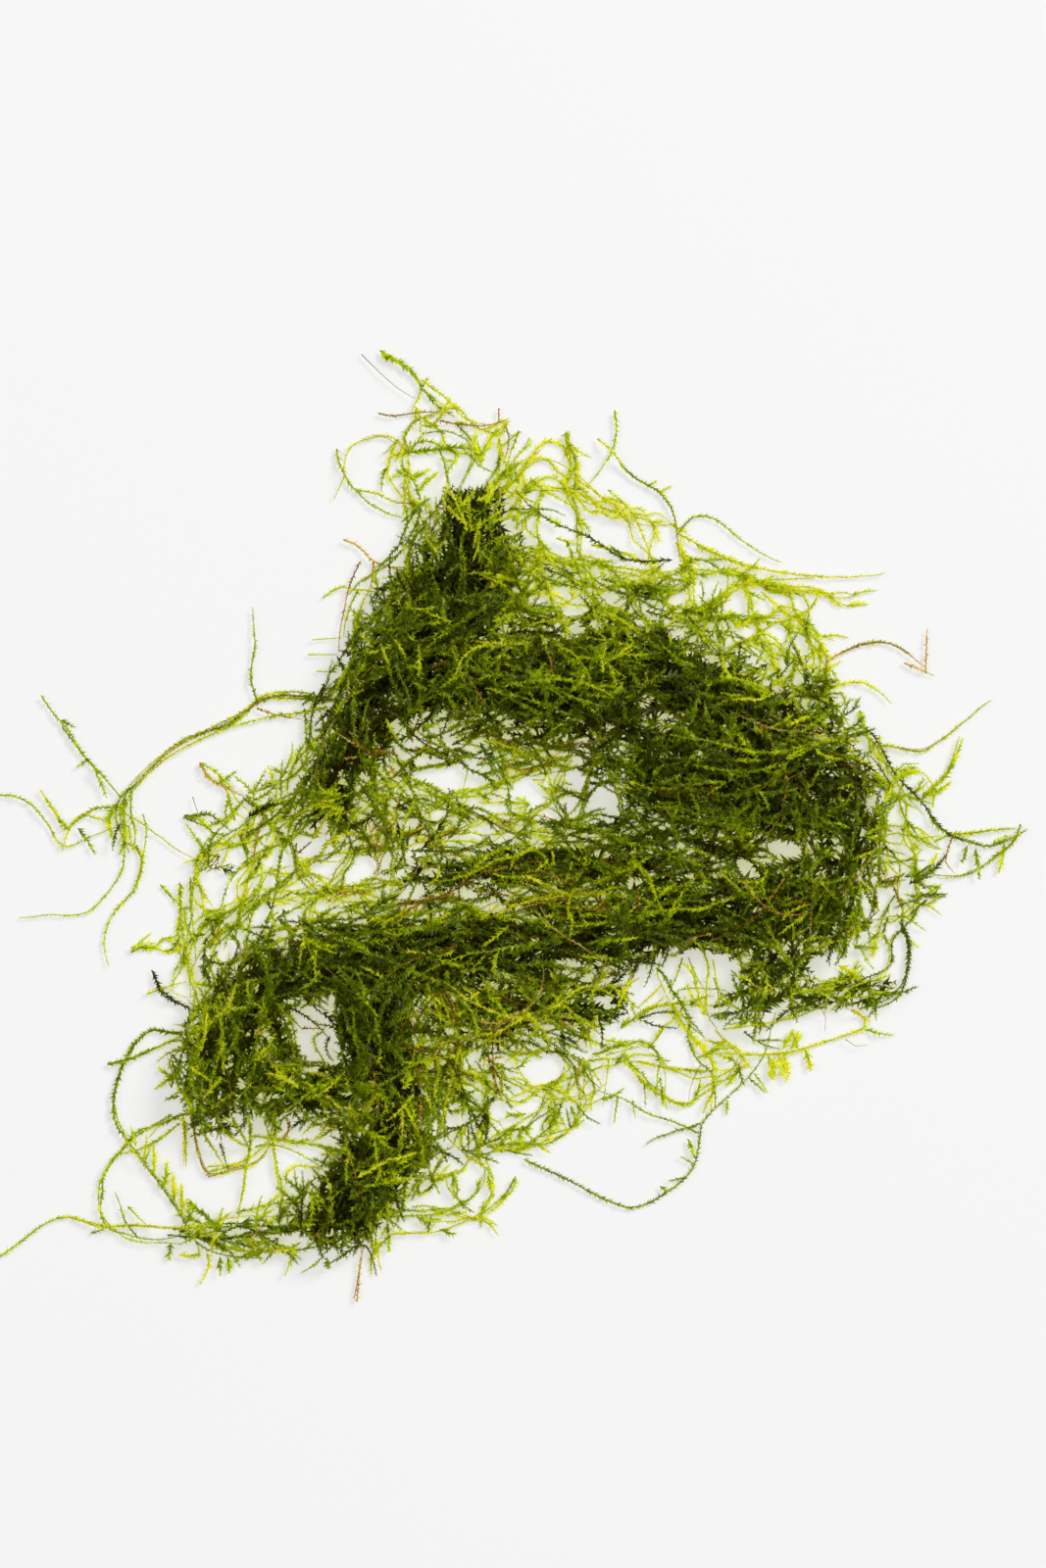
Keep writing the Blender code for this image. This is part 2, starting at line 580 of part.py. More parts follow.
def tidy_mesh(piece):
    """Keep the largest body of a cut piece, without the crumbs beyond its neighbour or flat edges."""
    mesh_builder = bmesh.new()
    mesh_builder.from_mesh(piece.data)
    groups = islands(mesh_builder)
    groups.sort(key=lambda group: sum(face.calc_area() for face in group))
    for group in groups[:-1]:
        bmesh.ops.delete(mesh_builder, geom=group, context="FACES")
    bmesh.ops.dissolve_limit(
        mesh_builder,
        angle_limit=FLAT_ANGLE,
        verts=mesh_builder.verts,
        edges=mesh_builder.edges,
    )
    mesh_builder.to_mesh(piece.data)
    mesh_builder.free()


def span(piece):
    """The lowest and highest corners of a piece."""
    points = [vertex.co for vertex in piece.data.vertices]
    low = Vector([min(point[axis] for point in points) for axis in range(3)])
    high = Vector([max(point[axis] for point in points) for axis in range(3)])
    return low, high


def spans_meet(first, second):
    """Whether two boxes come within reach of each other."""
    reach = 2 * CLEARANCE * MM
    return all(
        first[0][axis] - reach < second[1][axis] and second[0][axis] - reach < first[1][axis]
        for axis in range(3)
    )


def limb_makers(name):
    """The makers of a limb's own rope and of its hanging sprigs."""
    makers = [lambda grown: limb(name, LIMBS[name], grown)]
    for radius, route in LIMB_SPRIGS.get(name, []):
        makers.append(lambda grown, r=radius, p=route: stem(name, r, p, grown))
    return makers


def net_makers(name):
    """The makers of a net's crossing stems."""
    return [
        lambda grown, r=radius, p=route: stem(name, r, p, grown)
        for radius, route in NETS[name]
    ]


def shoot_makers(name):
    """The makers of a free shoot and its side branches."""
    radius, route, branches = SHOOTS[name]
    makers = [lambda grown: stem(name, radius, route, grown)]
    for branch in branches:
        makers.append(
            lambda grown, p=branch: stem(name, BRANCH_RADIUS, p, grown)
        )
    return makers


def finish_of(name):
    """Which kind of growth a piece shows."""
    if name in DRY_PIECES:
        return "dry"
    if name in GROWN_PIECES:
        return "grown"
    return "old" if name in LIMBS else "young"


def paint(piece):
    """Give a piece its own material."""
    colour, roughness = FINISHES[finish_of(piece.name)]
    material = bpy.data.materials.new(piece.name)
    material.use_nodes = True
    shader = material.node_tree.nodes["Principled BSDF"]
    shader.inputs["Base Color"].default_value = (*colour, 1.0)
    shader.inputs["Roughness"].default_value = roughness
    shader.inputs["Metallic"].default_value = 0.0
    piece.data.materials.clear()
    piece.data.materials.append(material)


def build_piece(name, makers, earlier):
    """Fuse a piece from its parts and cut it clear of every earlier piece that it meets."""
    bodies = [make(0.0) for make in makers]
    piece = bodies[0]
    piece.name = name
    combine(piece, bodies[1:], "UNION")
    cutters = []
    for other_makers in earlier:
        for make in other_makers:
            cutter = make(CLEARANCE)
            if spans_meet(span(piece), span(cutter)):
                cutters.append(cutter)
            else:
                bpy.data.objects.remove(cutter, do_unlink=True)
    combine(piece, cutters, "DIFFERENCE")
    tidy_mesh(piece)
    paint(piece)
    return piece


def centre_on_outline(pieces):
    """Shift every piece alike, so that the middle of the clump's outline is the origin."""
    spans = [span(piece) for piece in pieces]
    for axis in range(2):
        low = min(corner[0][axis] for corner in spans)
        high = max(corner[1][axis] for corner in spans)
        for piece in pieces:
            for vertex in piece.data.vertices:
                vertex.co[axis] -= (low + high) / 2


def build_clump():
    """Build every limb, then every net, then every free shoot."""
    clear_scene()
    plan = [(name, limb_makers(name)) for name in LIMBS]
    plan += [(name, net_makers(name)) for name in NETS]
    plan += [(name, shoot_makers(name)) for name in SHOOTS]
    earlier = []
    pieces = []
    for name, makers in plan:
        pieces.append(build_piece(name, makers, earlier))
        earlier.append(makers)
    centre_on_outline(pieces)


build_clump()
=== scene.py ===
# %% [markdown]
# # A clump of long-stemmed moss
#
# The object is a handful of aquatic moss, fished out of the water and laid loosely on a
# white table.  It has no stiff parts.  It is hundreds of thin stems, each with a row of tiny
# pointed leaves on either side, matted into thick dark ropes in the middle and thinning out
# to bright single shoots at the rim.
#
# A modeller could sculpt a lump and paint it green, but the light between the stems is what
# makes moss look like moss.  So every stem and every leaf here is real mesh.  The script
# first lays out the stems as lines, and one Geometry Nodes tree then dresses each line.

# %% Load the frame
import math

import bpy
import numpy as np
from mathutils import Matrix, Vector


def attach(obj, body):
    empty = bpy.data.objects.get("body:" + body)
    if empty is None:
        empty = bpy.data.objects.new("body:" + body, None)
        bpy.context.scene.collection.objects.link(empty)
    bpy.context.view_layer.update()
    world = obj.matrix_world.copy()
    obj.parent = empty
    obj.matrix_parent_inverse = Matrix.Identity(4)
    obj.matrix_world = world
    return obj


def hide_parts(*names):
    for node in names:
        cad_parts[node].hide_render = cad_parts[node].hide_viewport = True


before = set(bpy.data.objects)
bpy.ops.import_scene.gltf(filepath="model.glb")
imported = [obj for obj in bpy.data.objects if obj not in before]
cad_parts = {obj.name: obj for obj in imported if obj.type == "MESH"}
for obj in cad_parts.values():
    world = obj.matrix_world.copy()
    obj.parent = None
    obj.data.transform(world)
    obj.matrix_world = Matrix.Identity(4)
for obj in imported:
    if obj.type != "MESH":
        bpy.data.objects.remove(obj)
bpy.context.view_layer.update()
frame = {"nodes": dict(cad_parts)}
print("frame:", len(frame["nodes"]), "nodes")

# %% [markdown]
# ## Units and routes
#
# Blender works in metres.  Moss is easier to think about in millimetres, and the routes of
# the stems were read off a picture seen from straight above, in which 6 pixels are one
# millimetre.  A route is written as text, point by point, the way that a drawing file
# writes a line: "338,700 345,690" goes from one picture point to the next.  The helpers
# turn it into millimetres from the middle of the clump, with Y up the picture and Z up from
# the table, and lay a smooth line through its points.

# %% The picture's scale and the helpers for routes
MM = 0.001
PIXELS_PER_MM = 6.0
MIDDLE = (522.5, 843.0)


def read_points(text):
    """Turn points that are written as "x,y x,y" into tuples of numbers."""
    return [tuple(float(number) for number in point.split(",")) for point in text.split()]


def on_table(points):
    """Turn picture points into millimetres; any further numbers of a point are kept."""
    rows = np.array(points, dtype=float)
    rows[:, 0] = (rows[:, 0] - MIDDLE[0]) / PIXELS_PER_MM
    rows[:, 1] = (MIDDLE[1] - rows[:, 1]) / PIXELS_PER_MM
    return rows


def smooth(rows, step):
    """A Catmull-Rom line through the rows, with a point about every step millimetres."""
    samples = []
    last = len(rows) - 1
    for index in range(last):
        a = rows[max(index - 1, 0)]
        b = rows[index]
        c = rows[index + 1]
        d = rows[min(index + 2, last)]
        count = max(1, round(math.dist(b[:2], c[:2]) / step))
        for part in range(count):
            t = part / count
            bend = (2 * a - 5 * b + 4 * c - d) * t ** 2 + (3 * b - a - 3 * c + d) * t ** 3
            samples.append(b + 0.5 * ((c - a) * t + bend))
    samples.append(rows[last])
    return np.array(samples)


print("one picture point is", round(1 / PIXELS_PER_MM, 2), "mm")

# %% [markdown]
# ## Kinds of stem
#
# A moss stem is described by six numbers: its tone, how much the tone varies from stem to
# stem, the length of its leaves, the spacing of its leaves, the half thickness of the stem
# itself and how broad its leaves are for their length, where 1 is usual.  Tones below 0.7
# run from nearly black through green to pale yellow-green, and tones above 0.7 from dark
# brown to straw.  Lengths are in millimetres.  A mixture is a choice of kinds, and a kind
# that is named twice in it comes twice as often.

# %% Kinds of stem and their mixtures
STYLES = {
    # The old kind is nearly black: old stems as a real clump has inside, with broad leaves that
    # also darken the deep gaps of the ropes as painted shade.
    "old": (0.10, 0.05, 2.20, 1.00, 0.34, 1.20),
    "matted": (0.26, 0.10, 1.15, 0.46, 0.13, 1.00),
    "leafy": (0.37, 0.09, 1.08, 0.42, 0.12, 1.00),
    "bright": (0.50, 0.07, 1.12, 0.38, 0.13, 1.00),
    "lush": (0.50, 0.06, 1.50, 0.30, 0.14, 0.95),
    "dark": (0.14, 0.05, 1.05, 0.48, 0.15, 1.00),
    "wiry": (0.40, 0.08, 0.75, 0.46, 0.11, 1.00),
    "slender": (0.50, 0.07, 0.96, 0.36, 0.13, 1.05),
    "brown": (0.86, 0.03, 0.80, 0.50, 0.14, 1.00),
    "amber": (0.93, 0.02, 0.95, 0.42, 0.14, 1.00),
    "thread": (0.86, 0.03, 0.30, 2.00, 0.10, 1.00),
}
MIXTURES = {
    "fringe": ("slender", "slender", "bright", "bright", "lush", "leafy"),
    "web": ("leafy", "leafy", "matted", "brown", "slender"),
}
print("kinds of stem:", ", ".join(STYLES))

# %% [markdown]
# ## The lie of the clump
#
# A wet clump slumps into low mounds.  Each thick limb is a mound with a half width and a
# height in millimetres along its route, so the height of the whole clump at any place is
# the highest mound there.  Stems that wander off a mound come down to the table.

# %% The mounds: x, y, half width and height
LIMBS = {
    "tower":
        "484,500,5.5,5 480,542,7.5,8 468,597,9.5,11 442,652,12.5,13 406,702,10.5,13 "
        "368,744,6.5,10 346,782,6,9 336,816,5.5,7 338,850,4,4",
    "upper_band": "452,682,8,10 520,694,9,10 590,706,9.5,11 650,708,10.5,12",
    "north_shoulder": "590,652,5.5,6 650,668,7,8 715,706,7,10 775,738,6,10 826,754,5,8",
    "east_mass": "640,790,7.5,9 710,790,12.5,13 785,796,14,14 843,806,10.5,12 874,826,6.5,8",
    "east_shoulder": "866,822,6.5,10 864,880,5.5,10 858,930,5.5,9 840,962,4.5,7",
    "middle_band_east": "846,908,7.5,9 780,928,7.5,10 700,931,7,10 630,945,7.5,11",
    "middle_band_west":
        "632,950,7.5,11 540,962,7.5,11 450,972,7.5,12 370,978,7.5,12 300,985,6.5,10",
    "central_rope": "690,872,5.5,8 620,880,4,6 545,884,3.5,5 470,891,3.5,5 410,895,3.5,5",
    "west_lobe": "300,985,6,9 264,1015,7.5,9 240,1055,9,10 232,1100,8.5,10 234,1136,6,7",
    "ring_bar": "262,1120,5.5,7 310,1114,5.5,7 365,1120,5.5,8",
    "column": "385,985,7.5,12 388,1040,7.5,13 398,1095,7,12 404,1145,6.5,11",
    "tail": "410,1140,8.5,10 390,1180,7.5,10 358,1220,7.5,10 338,1250,6.5,8 328,1268,4,4",
    "tail_runner": "168,1254,2,3 205,1260,3,4 255,1258,3.5,4 300,1260,3,5 342,1259,2.5,5",
    "south_mat": "440,1020,5.5,7 510,1026,6.5,6 575,1028,5.5,5 636,1020,3.5,4",
    "southeast_mass": "800,950,8.5,9 790,985,7.5,9 768,1018,5.5,7 742,1040,2.5,4",
    "southeast_wing": "800,1012,3,4 850,1016,3.5,4 895,1012,3,4 912,1004,1.5,3",
}
LIMB_STEP = 2.0
mounds = np.concatenate([
    smooth(on_table(read_points(route)), LIMB_STEP) for route in LIMBS.values()
])
print("mounds:", len(mounds), "samples")


def surface(points):
    """Height of the clump's surface, in millimetres, over each point."""
    apart = np.hypot(
        points[:, None, 0] - mounds[None, :, 0],
        points[:, None, 1] - mounds[None, :, 1],
    )
    share = np.clip(1 - (apart / mounds[None, :, 2]) ** 2, 0, 1)
    return np.max(mounds[None, :, 3] * np.sqrt(share), axis=1)


# %% [markdown]
# ## The gaps
#
# The open gaps, where the white table shows through, matter as much to the look as the
# stems.  Each is an ellipse, given by its middle, its half length, its half width and its
# turn in degrees.  A stem that only grazes a gap bends round it, and one that would cross
# it ends at its rim.

# %% The gaps: x, y, half length, half width and turn
GAPS = """
438,474,12,12,0 477,470,15,11,-30 461,447,9,8,0 491,452,8,8,0 566,484,10,7,0 619,486,14,9,0
547,540,16,13,0 637,554,15,12,0 595,554,10,5,0 565,555,10,5,0 595,567,15,4,0 604,581,8,5,0
588,620,17,11,30 544,610,7,4,0 527,602,11,5,20 565,628,5,5,0 567,606,5,7,0 610,640,9,6,-30
690,611,10,7,0 590,645,11,4,0 654,638,5,4,0 515,643,9,6,0 762,617,22,7,0 786,660,10,9,0
712,603,7,6,0 757,645,9,6,0 820,662,8,8,0 725,640,7,5,0 387,725,5,6,0 372,795,7,4,-40
404,741,18,7,-40 420,736,8,6,0 425,777,7,5,-45 455,754,6,4,0 388,761,5,6,0 396,785,5,4,0
375,772,6,4,0 360,752,5,4,0 325,700,8,5,0 352,797,6,6,0 412,712,6,3,0 345,790,5,4,0 755,668,6,4,0
775,690,6,4,0 462,706,4,4,0 800,868,21,11,-25 763,888,16,8,-40 787,884,7,4,0 657,737,5,4,0
462,795,42,12,-8 545,811,44,11,-41 616,815,17,9,0 489,848,13,7,0 519,852,9,4,0 441,831,13,9,0
416,809,5,6,0 474,912,10,7,0 491,922,5,4,0 614,872,14,7,-15 440,891,18,6,0 565,795,9,7,0
438,828,8,6,0 582,856,6,5,0 882,762,8,7,0 647,900,9,6,0 350,884,38,14,0 222,905,15,20,0
246,953,8,8,0 325,925,8,7,0 314,1066,17,9,-53 309,1037,16,6,-29 319,1030,7,5,0 329,1066,12,5,-80
338,1073,8,4,90 252,1036,7,6,0 247,1104,11,8,0 266,1116,7,5,20 222,1098,5,5,0 282,1140,7,4,0
235,1085,5,5,0 356,1115,10,7,0 432,1112,6,6,0 303,994,6,4,0 458,1052,10,6,0 475,1050,7,5,0
485,1077,8,7,0 463,1143,7,7,0 553,1093,24,14,0 507,1132,12,12,0 600,998,8,8,0 673,1000,16,10,60
725,985,22,12,0 846,992,16,7,0 890,978,16,12,0 448,1222,20,6,-10 478,1212,10,10,0 440,1250,12,5,0
490,1107,6,6,0 330,843,9,7,0 698,1072,22,14,-20 670,1040,18,5,0 662,1076,12,6,0 661,1100,12,10,0
697,1104,18,13,0 722,1045,10,9,0 749,1057,13,8,0 741,1084,8,4,0 737,1097,7,5,0 905,835,6,9,0
891,852,3,8,0 903,872,8,7,0 916,876,6,15,0 898,910,8,5,0 916,906,5,5,0 930,853,3,10,0
944,848,6,9,0 914,973,7,17,0 886,945,5,4,0 907,948,3,5,0 345,1169,7,4,0 369,1154,6,4,-50
392,1151,6,3,-60 309,1148,8,4,0 336,1207,6,3,0 409,1209,4,5,0
"""
CROSSING = 0.45
gap_rows = np.array(read_points(GAPS))
gap_middles = on_table(gap_rows[:, :2])
gap_sizes = gap_rows[:, 2:4] / PIXELS_PER_MM
gap_turns = np.radians(gap_rows[:, 4])
print("gaps:", len(gap_rows))


def gap_distance(points):
    """How far each point is from the middle of each gap, where 1 is the gap's rim."""
    apart = points[:, None, :2] - gap_middles[None, :, :2]
    cosine = np.cos(gap_turns)
    sine = np.sin(gap_turns)
    lengthwise = apart[:, :, 0] * cosine + apart[:, :, 1] * sine
    crosswise = apart[:, :, 1] * cosine - apart[:, :, 0] * sine
    return np.hypot(lengthwise / gap_sizes[:, 0], crosswise / gap_sizes[:, 1])


def between_gaps(rows):
    """Bend a line round the gaps it grazes, and cut it where it would cross one."""
    distance = gap_distance(rows)
    nearest = np.argmin(distance, axis=1)
    depth = distance[np.arange(len(rows)), nearest]
    clear = depth >= CROSSING
    grazing = clear & (depth < 1)
    centre = gap_middles[nearest[grazing], :2]
    rows[grazing, :2] = centre + (rows[grazing, :2] - centre) / depth[grazing][:, None]
    breaks = np.flatnonzero(np.diff(clear)) + 1
    runs = np.split(np.arange(len(rows)), breaks)
    return [rows[run] for run in runs if clear[run[0]]]


# %% [markdown]
# ## Growing the lines
#
# Every stem in the clump is one of four things: a strand of a matted rope, a stem of the
# open lace, a free shoot that trails on the table, or a short side branch of one of these.
# Each becomes a line of points with a kind, which says how leafy, how thick and what
# colour it is.  Random numbers come from one seeded generator for each piece, patch or
# strand, so the same clump grows on every run.

# %% One line of growth
SEED = 20240
GREEN_TONES = (0.02, 0.59)
DRY_TONES = (0.83, 0.98)
TIP_YOUTH = 0.08
LEAF_VARIETY = (0.85, 1.15)
LYING = 0.45
growth = {}


def generator(name):
    """The random numbers of one piece, patch or strand."""
    return np.random.default_rng([SEED, sum(map(ord, name))])


def grow(name, rng, points, style, lighten=0.0, over_gaps=False):
    """Add a line to a piece, cut where it meets a gap, and return what is left of it."""
    if len(points) == 0:
        return []
    tone, spread, leaf, spacing, thickness, breadth = STYLES[style]
    youth = np.linspace(0, TIP_YOUTH, len(points))
    tones = tone + lighten + rng.normal(0, spread) + youth
    low, high = DRY_TONES if tone > GREEN_TONES[1] else GREEN_TONES
    rows = np.column_stack([points[:, :3], np.clip(tones, low, high)])
    rows[:, 2] = np.maximum(rows[:, 2], LYING)
    runs = [rows] if over_gaps else between_gaps(rows)
    runs = [run for run in runs if len(run) > 2]
    for run in runs:
        line = {
            "points": run[:, :3],
            "tone": run[:, 3],
            "leaf": leaf * rng.uniform(*LEAF_VARIETY),
            "spacing": spacing,
            "thickness": thickness,
            "breadth": breadth,
        }
        growth.setdefault(name, []).append(line)
    return runs


# %% Drift, direction and side branches
DRIFT_PITCH = 9.0
DRIFT_WAVES = (0.5, 1, 2)
BRANCH_ANGLES = (16, 52)
BRANCH_LENGTHS = (0.45, 1.25)
BRANCH_PAUSES = (0.6, 1.4)
BRANCH_RISE = (-0.6, 0.8)
BRANCH_CURL = 0.35
BRANCH_UNCURL = 0.25
OVER_SURFACE = 0.4
OVER_TABLE = 1.6


def wander(rng, count, size):
    """Smooth random drift along a line, in millimetres."""
    at = np.arange(count) / DRIFT_PITCH
    waves = [
        rng.normal(0, size / number) * np.sin(2 * math.pi * (at * number + rng.random()))
        for number in DRIFT_WAVES
    ]
    return np.sum(waves, axis=0)


def directions(points):
    """Unit directions along a line, and level across it."""
    along = np.gradient(points[:, :2], axis=0)
    along /= np.maximum(np.linalg.norm(along, axis=1), 1e-9)[:, None]
    return along, np.stack([-along[:, 1], along[:, 0]], axis=1)


def branch_out(name, rng, runs, style, every, reach, lighten=0.0):
    """Grow short curved side branches, left and right in turn, from what grew."""
    for run in runs:
        along, across = directions(run)
        side = 1
        at = rng.uniform(0, every)
        while at < len(run) - 1:
            index = int(at)
            angle = math.radians(rng.uniform(*BRANCH_ANGLES)) * side
            heading = along[index] * math.cos(angle) + across[index] * math.sin(angle)
            sideways = np.array([-heading[1], heading[0]])
            length = reach * rng.uniform(*BRANCH_LENGTHS)
            far = np.linspace(0, 1, max(3, int(length) + 1))
            curl = (rng.normal(0, BRANCH_CURL) - BRANCH_UNCURL * side) * length * far ** 2
            points = np.zeros((len(far), 3))
            points[:, :2] = run[index, :2] + np.outer(far * length, heading)
            points[:, :2] += np.outer(curl, sideways)
            ceiling = np.maximum(surface(points) + OVER_SURFACE, OVER_TABLE)
            rise = rng.uniform(*BRANCH_RISE)
            points[:, 2] = np.minimum(run[index, 2] + rise * far, ceiling)
            grow(name, rng, points, style, lighten)
            at += every * rng.uniform(*BRANCH_PAUSES)
            side = -side


# %% [markdown]
# ## Matted ropes
#
# In the thick limbs dozens of stems lie over one another.  The lower ones are old and nearly
# black, as the old stems inside a real clump are, and they also fill the deep gaps with dark
# as painted shade.  The upper ones are greener, and the fine stems are painted lighter the
# higher they lie and the nearer the rims of the limb: painted shade and light.  All of them
# wander from side to side.  Each strand takes a stretch of the limb, a place across it and a
# depth below its surface.
#
# The growth of a rope is four numbers: how much fine stem lies in it, in millimetres to the
# square millimetre, how full of old stem it is, how much lighter its top is painted than its
# bottom as painted shade, and its own change of tone.

# %% What grows in the ropes
ROPE_STYLES = ("matted", "leafy", "dark", "brown")
ROPE_SHARES = (0.45, 0.25, 0.16, 0.14)
ROPE_GROWTH = {
    "usual": (1.3, 2.2, 0.25, 0.0),
    "central_rope": (1.2, 1.4, 0.10, 0.0),
    "south_mat": (1.1, 0.9, 0.30, 0.02),
    "tail_runner": (1.0, 0.0, 0.30, 0.16),
    "southeast_mass": (1.0, 0.5, 0.30, 0.08),
    "southeast_wing": (1.0, 0.4, 0.30, 0.10),
    "east_shoulder": (1.1, 1.0, 0.30, 0.04),
    "west_lobe": (1.4, 1.5, 0.30, 0.02),
    "ring_bar": (1.3, 1.2, 0.30, 0.05),
}
print("ropes with a growth of their own:", len(ROPE_GROWTH) - 1)

# %% Grow the ropes
STEP = 1.0
ROPE_SCATTER = 38.0
BEND = 0.045
WOBBLE = 0.08
ROPE_DRIFT = 0.3
THINNEST_RIM = 0.02
# Painted light and shade across a limb: fine stems lighter near its rims, darker in its middle.
PAINTED_RIM_LIGHT = 0.22
MEAN_SQUARE_PLACE = 0.33
OLD_SPANS = (8, 26)
OLD_WIDTHS = (0.5, 1.0)
OLD_DEPTHS = (0.05, 0.6)
FINE_SPANS = (12, 45)
FINE_WIDTHS = (0.7, 1.2)
FINE_DEPTHS = (0.4, 1.0)
MIDDLE_DEPTH = 0.75
ROPE_BRANCHES = (3.6, 4.5)


def walk(rng, start, heading, span):
    """A curved line of the given span that sets off from a start in a heading."""
    turning = rng.normal(0, BEND) + rng.normal(0, WOBBLE, span)
    headings = heading + np.cumsum(turning)
    steps = np.column_stack([np.cos(headings), np.sin(headings)]) * STEP
    return start + np.cumsum(steps, axis=0)


def strand_in_rope(rng, samples, span, edge, depth):
    """A line that wanders through a limb, and its place across it, 0 at its middle."""
    width = samples[:, 2]
    first = rng.choice(len(samples), p=width / width.sum())
    start = (first, rng.uniform(-edge, edge) * width[first])
    heading = math.radians(rng.normal(0, ROPE_SCATTER)) + math.pi * rng.integers(0, 2)
    path = walk(rng, start, heading, span)
    stations = np.arange(len(samples))
    along, across = directions(samples)
    columns = np.column_stack([samples[:, :4], across])
    x, y, wide, high, across_x, across_y = [
        np.interp(path[:, 0], stations, column) for column in columns.T
    ]
    place = path[:, 1] / wide
    left = (np.abs(place) > edge) | (path[:, 0] < 0) | (path[:, 0] > stations[-1])
    length = int(np.argmax(left)) if left.any() else span
    rim = np.sqrt(np.clip(1 - place ** 2, THINNEST_RIM, 1))
    level = high * rim * depth + wander(rng, span, ROPE_DRIFT)
    points = np.column_stack([x + across_x * path[:, 1], y + across_y * path[:, 1], level])
    return points[:length], place[:length]


def rope(name, route):
    """Fill one limb with old stems below and younger ones above, painted lighter higher up as
    painted shade.
    """
    rng = generator(name)
    samples = smooth(on_table(read_points(route)), STEP)
    fine, old, painted_depth_shade, shift = ROPE_GROWTH.get(name, ROPE_GROWTH["usual"])
    area = 2 * samples[:, 2].sum() * STEP
    laid = 0.0
    # Old stems, nearly black: real inner stems, and also a dark fill in the depths of the limb as
    # painted shade.
    while laid < old * area:
        span = int(rng.uniform(*OLD_SPANS))
        edge = rng.uniform(*OLD_WIDTHS)
        points, place = strand_in_rope(rng, samples, span, edge, rng.uniform(*OLD_DEPTHS))
        grow(name, rng, points, "old", shift)
        laid += len(points)
    laid = 0.0
    while laid < fine * area:
        span = int(rng.uniform(*FINE_SPANS))
        depth = rng.uniform(*FINE_DEPTHS)
        points, place = strand_in_rope(rng, samples, span, rng.uniform(*FINE_WIDTHS), depth)
        # Painted shade and light: a fine stem is darker the deeper it lies and the nearer the
        # middle of the limb, and lighter near its rims.
        painted_rim_light = PAINTED_RIM_LIGHT * (place ** 2 - MEAN_SQUARE_PLACE)
        lighten = shift + painted_depth_shade * (depth - MIDDLE_DEPTH) + painted_rim_light
        style = rng.choice(ROPE_STYLES, p=ROPE_SHARES)
        runs = grow(name, rng, points, style, lighten)
        branch_out(name, rng, runs, "matted", *ROPE_BRANCHES, np.mean(lighten))
        laid += len(points)


for limb_name, limb_route in LIMBS.items():
    rope(limb_name, limb_route)
print("rope lines:", sum(len(lines) for lines in growth.values()))

# %% [markdown]
# ## Lace
#
# Around the ropes single stems cross and cling together in open lace.  The main stems of a
# net follow routes of their own, each as one or two strands side by side.  Between them,
# and over the ropes, patches are filled with stems that set off in a random direction and
# stop at the edge of the patch.

# %% A net of stems
RIDE_UP = 0.85
NET_DRIFT = (0.5, 0.9, 0.3)
NET_BRANCHES = (6.0, 3.6)


def net(name, style, tone, strands, stems):
    """Grow the main stems of a net; each has a half thickness, to spread its strands by."""
    rng = generator(name)
    drift_size, spread, lift = NET_DRIFT
    for radius, route in stems:
        centre = smooth(on_table(read_points(route)), STEP)
        along, across = directions(centre)
        for _ in range(strands):
            points = np.zeros((len(centre), 3))
            drift = wander(rng, len(centre), drift_size) + rng.uniform(-spread, spread) * radius
            points[:, :2] = centre[:, :2] + across * drift[:, None]
            points[:, 2] = radius + wander(rng, len(centre), lift) + RIDE_UP * surface(points)
            runs = grow(name, rng, points, style, tone, over_gaps=True)
            branch_out(name, rng, runs, style, *NET_BRANCHES, tone)


# %% A patch of lace
FLOW_SCATTER = 38.0
PATCH_SPANS = (8, 36)
SHORTEST = 4
PATCH_FLOOR = 0.5
PATCH_DRIFT = 0.2
PATCH_BRANCHES = (6.0, 4.0)
WITH_BRANCHES = 1.6


def inside(outline, point):
    """Whether a point is inside a closed outline."""
    x, y = point
    crossings = 0
    for (x0, y0), (x1, y1) in zip(outline, np.roll(outline, -1, axis=0)):
        if (y0 > y) != (y1 > y) and x < x0 + (y - y0) * (x1 - x0) / (y1 - y0):
            crossings += 1
    return crossings % 2 == 1


def patch(name, style, tone, flow, layers, height, outline):
    """Fill an outline with wandering stems that mostly follow the flow, and their branches."""
    rng = generator(name + style)
    corners = on_table(read_points(outline))
    kinds = MIXTURES.get(style, (style,))
    low, high = corners.min(axis=0), corners.max(axis=0)
    shifted = np.roll(corners, -1, axis=0)
    area = abs(np.sum(corners[:, 0] * shifted[:, 1] - shifted[:, 0] * corners[:, 1])) / 2
    laid = 0.0
    while laid < layers * area:
        start = rng.uniform(low, high)
        if not inside(corners, start):
            continue
        heading = math.radians(rng.normal(flow, FLOW_SCATTER)) + math.pi * rng.integers(0, 2)
        path = walk(rng, start, heading, int(rng.uniform(*PATCH_SPANS)))
        outside = [index for index, point in enumerate(path) if not inside(corners, point)]
        path = path[:outside[0]] if outside else path
        points = np.column_stack([path, np.zeros(len(path))])
        if len(points) < SHORTEST:
            continue
        points[:, 2] = rng.uniform(PATCH_FLOOR, height) + wander(rng, len(points), PATCH_DRIFT)
        points[:, 2] += RIDE_UP * surface(points)
        kind = kinds[rng.integers(len(kinds))]
        runs = grow(name, rng, points, kind, tone)
        branch_out(name, rng, runs, kind, *PATCH_BRANCHES, tone)
        laid += len(points) * WITH_BRANCHES


# %% [markdown]
# ## Shoots and strands
#
# The shoots at the rim are the part of the clump that can be read one by one, so each
# follows its own route, and so do its side branches.  Where it crosses another stem it is
# lifted: a third number on a point is its height in millimetres.  Many finer strands cross
# the main stems and give the rim its look, so these too are laid one by one.

# %% One shoot, one strand and a list of them
SHOOT_HEIGHT = 0.8
SHOOT_RIDE_UP = 0.8
SHOOT_LIFT = 0.15
SHOOT_DRIFT = 0.12
STRAND_HEIGHT = 0.9
STRAND_RIDE_UP = 0.9
STRAND_LIFT = 0.2


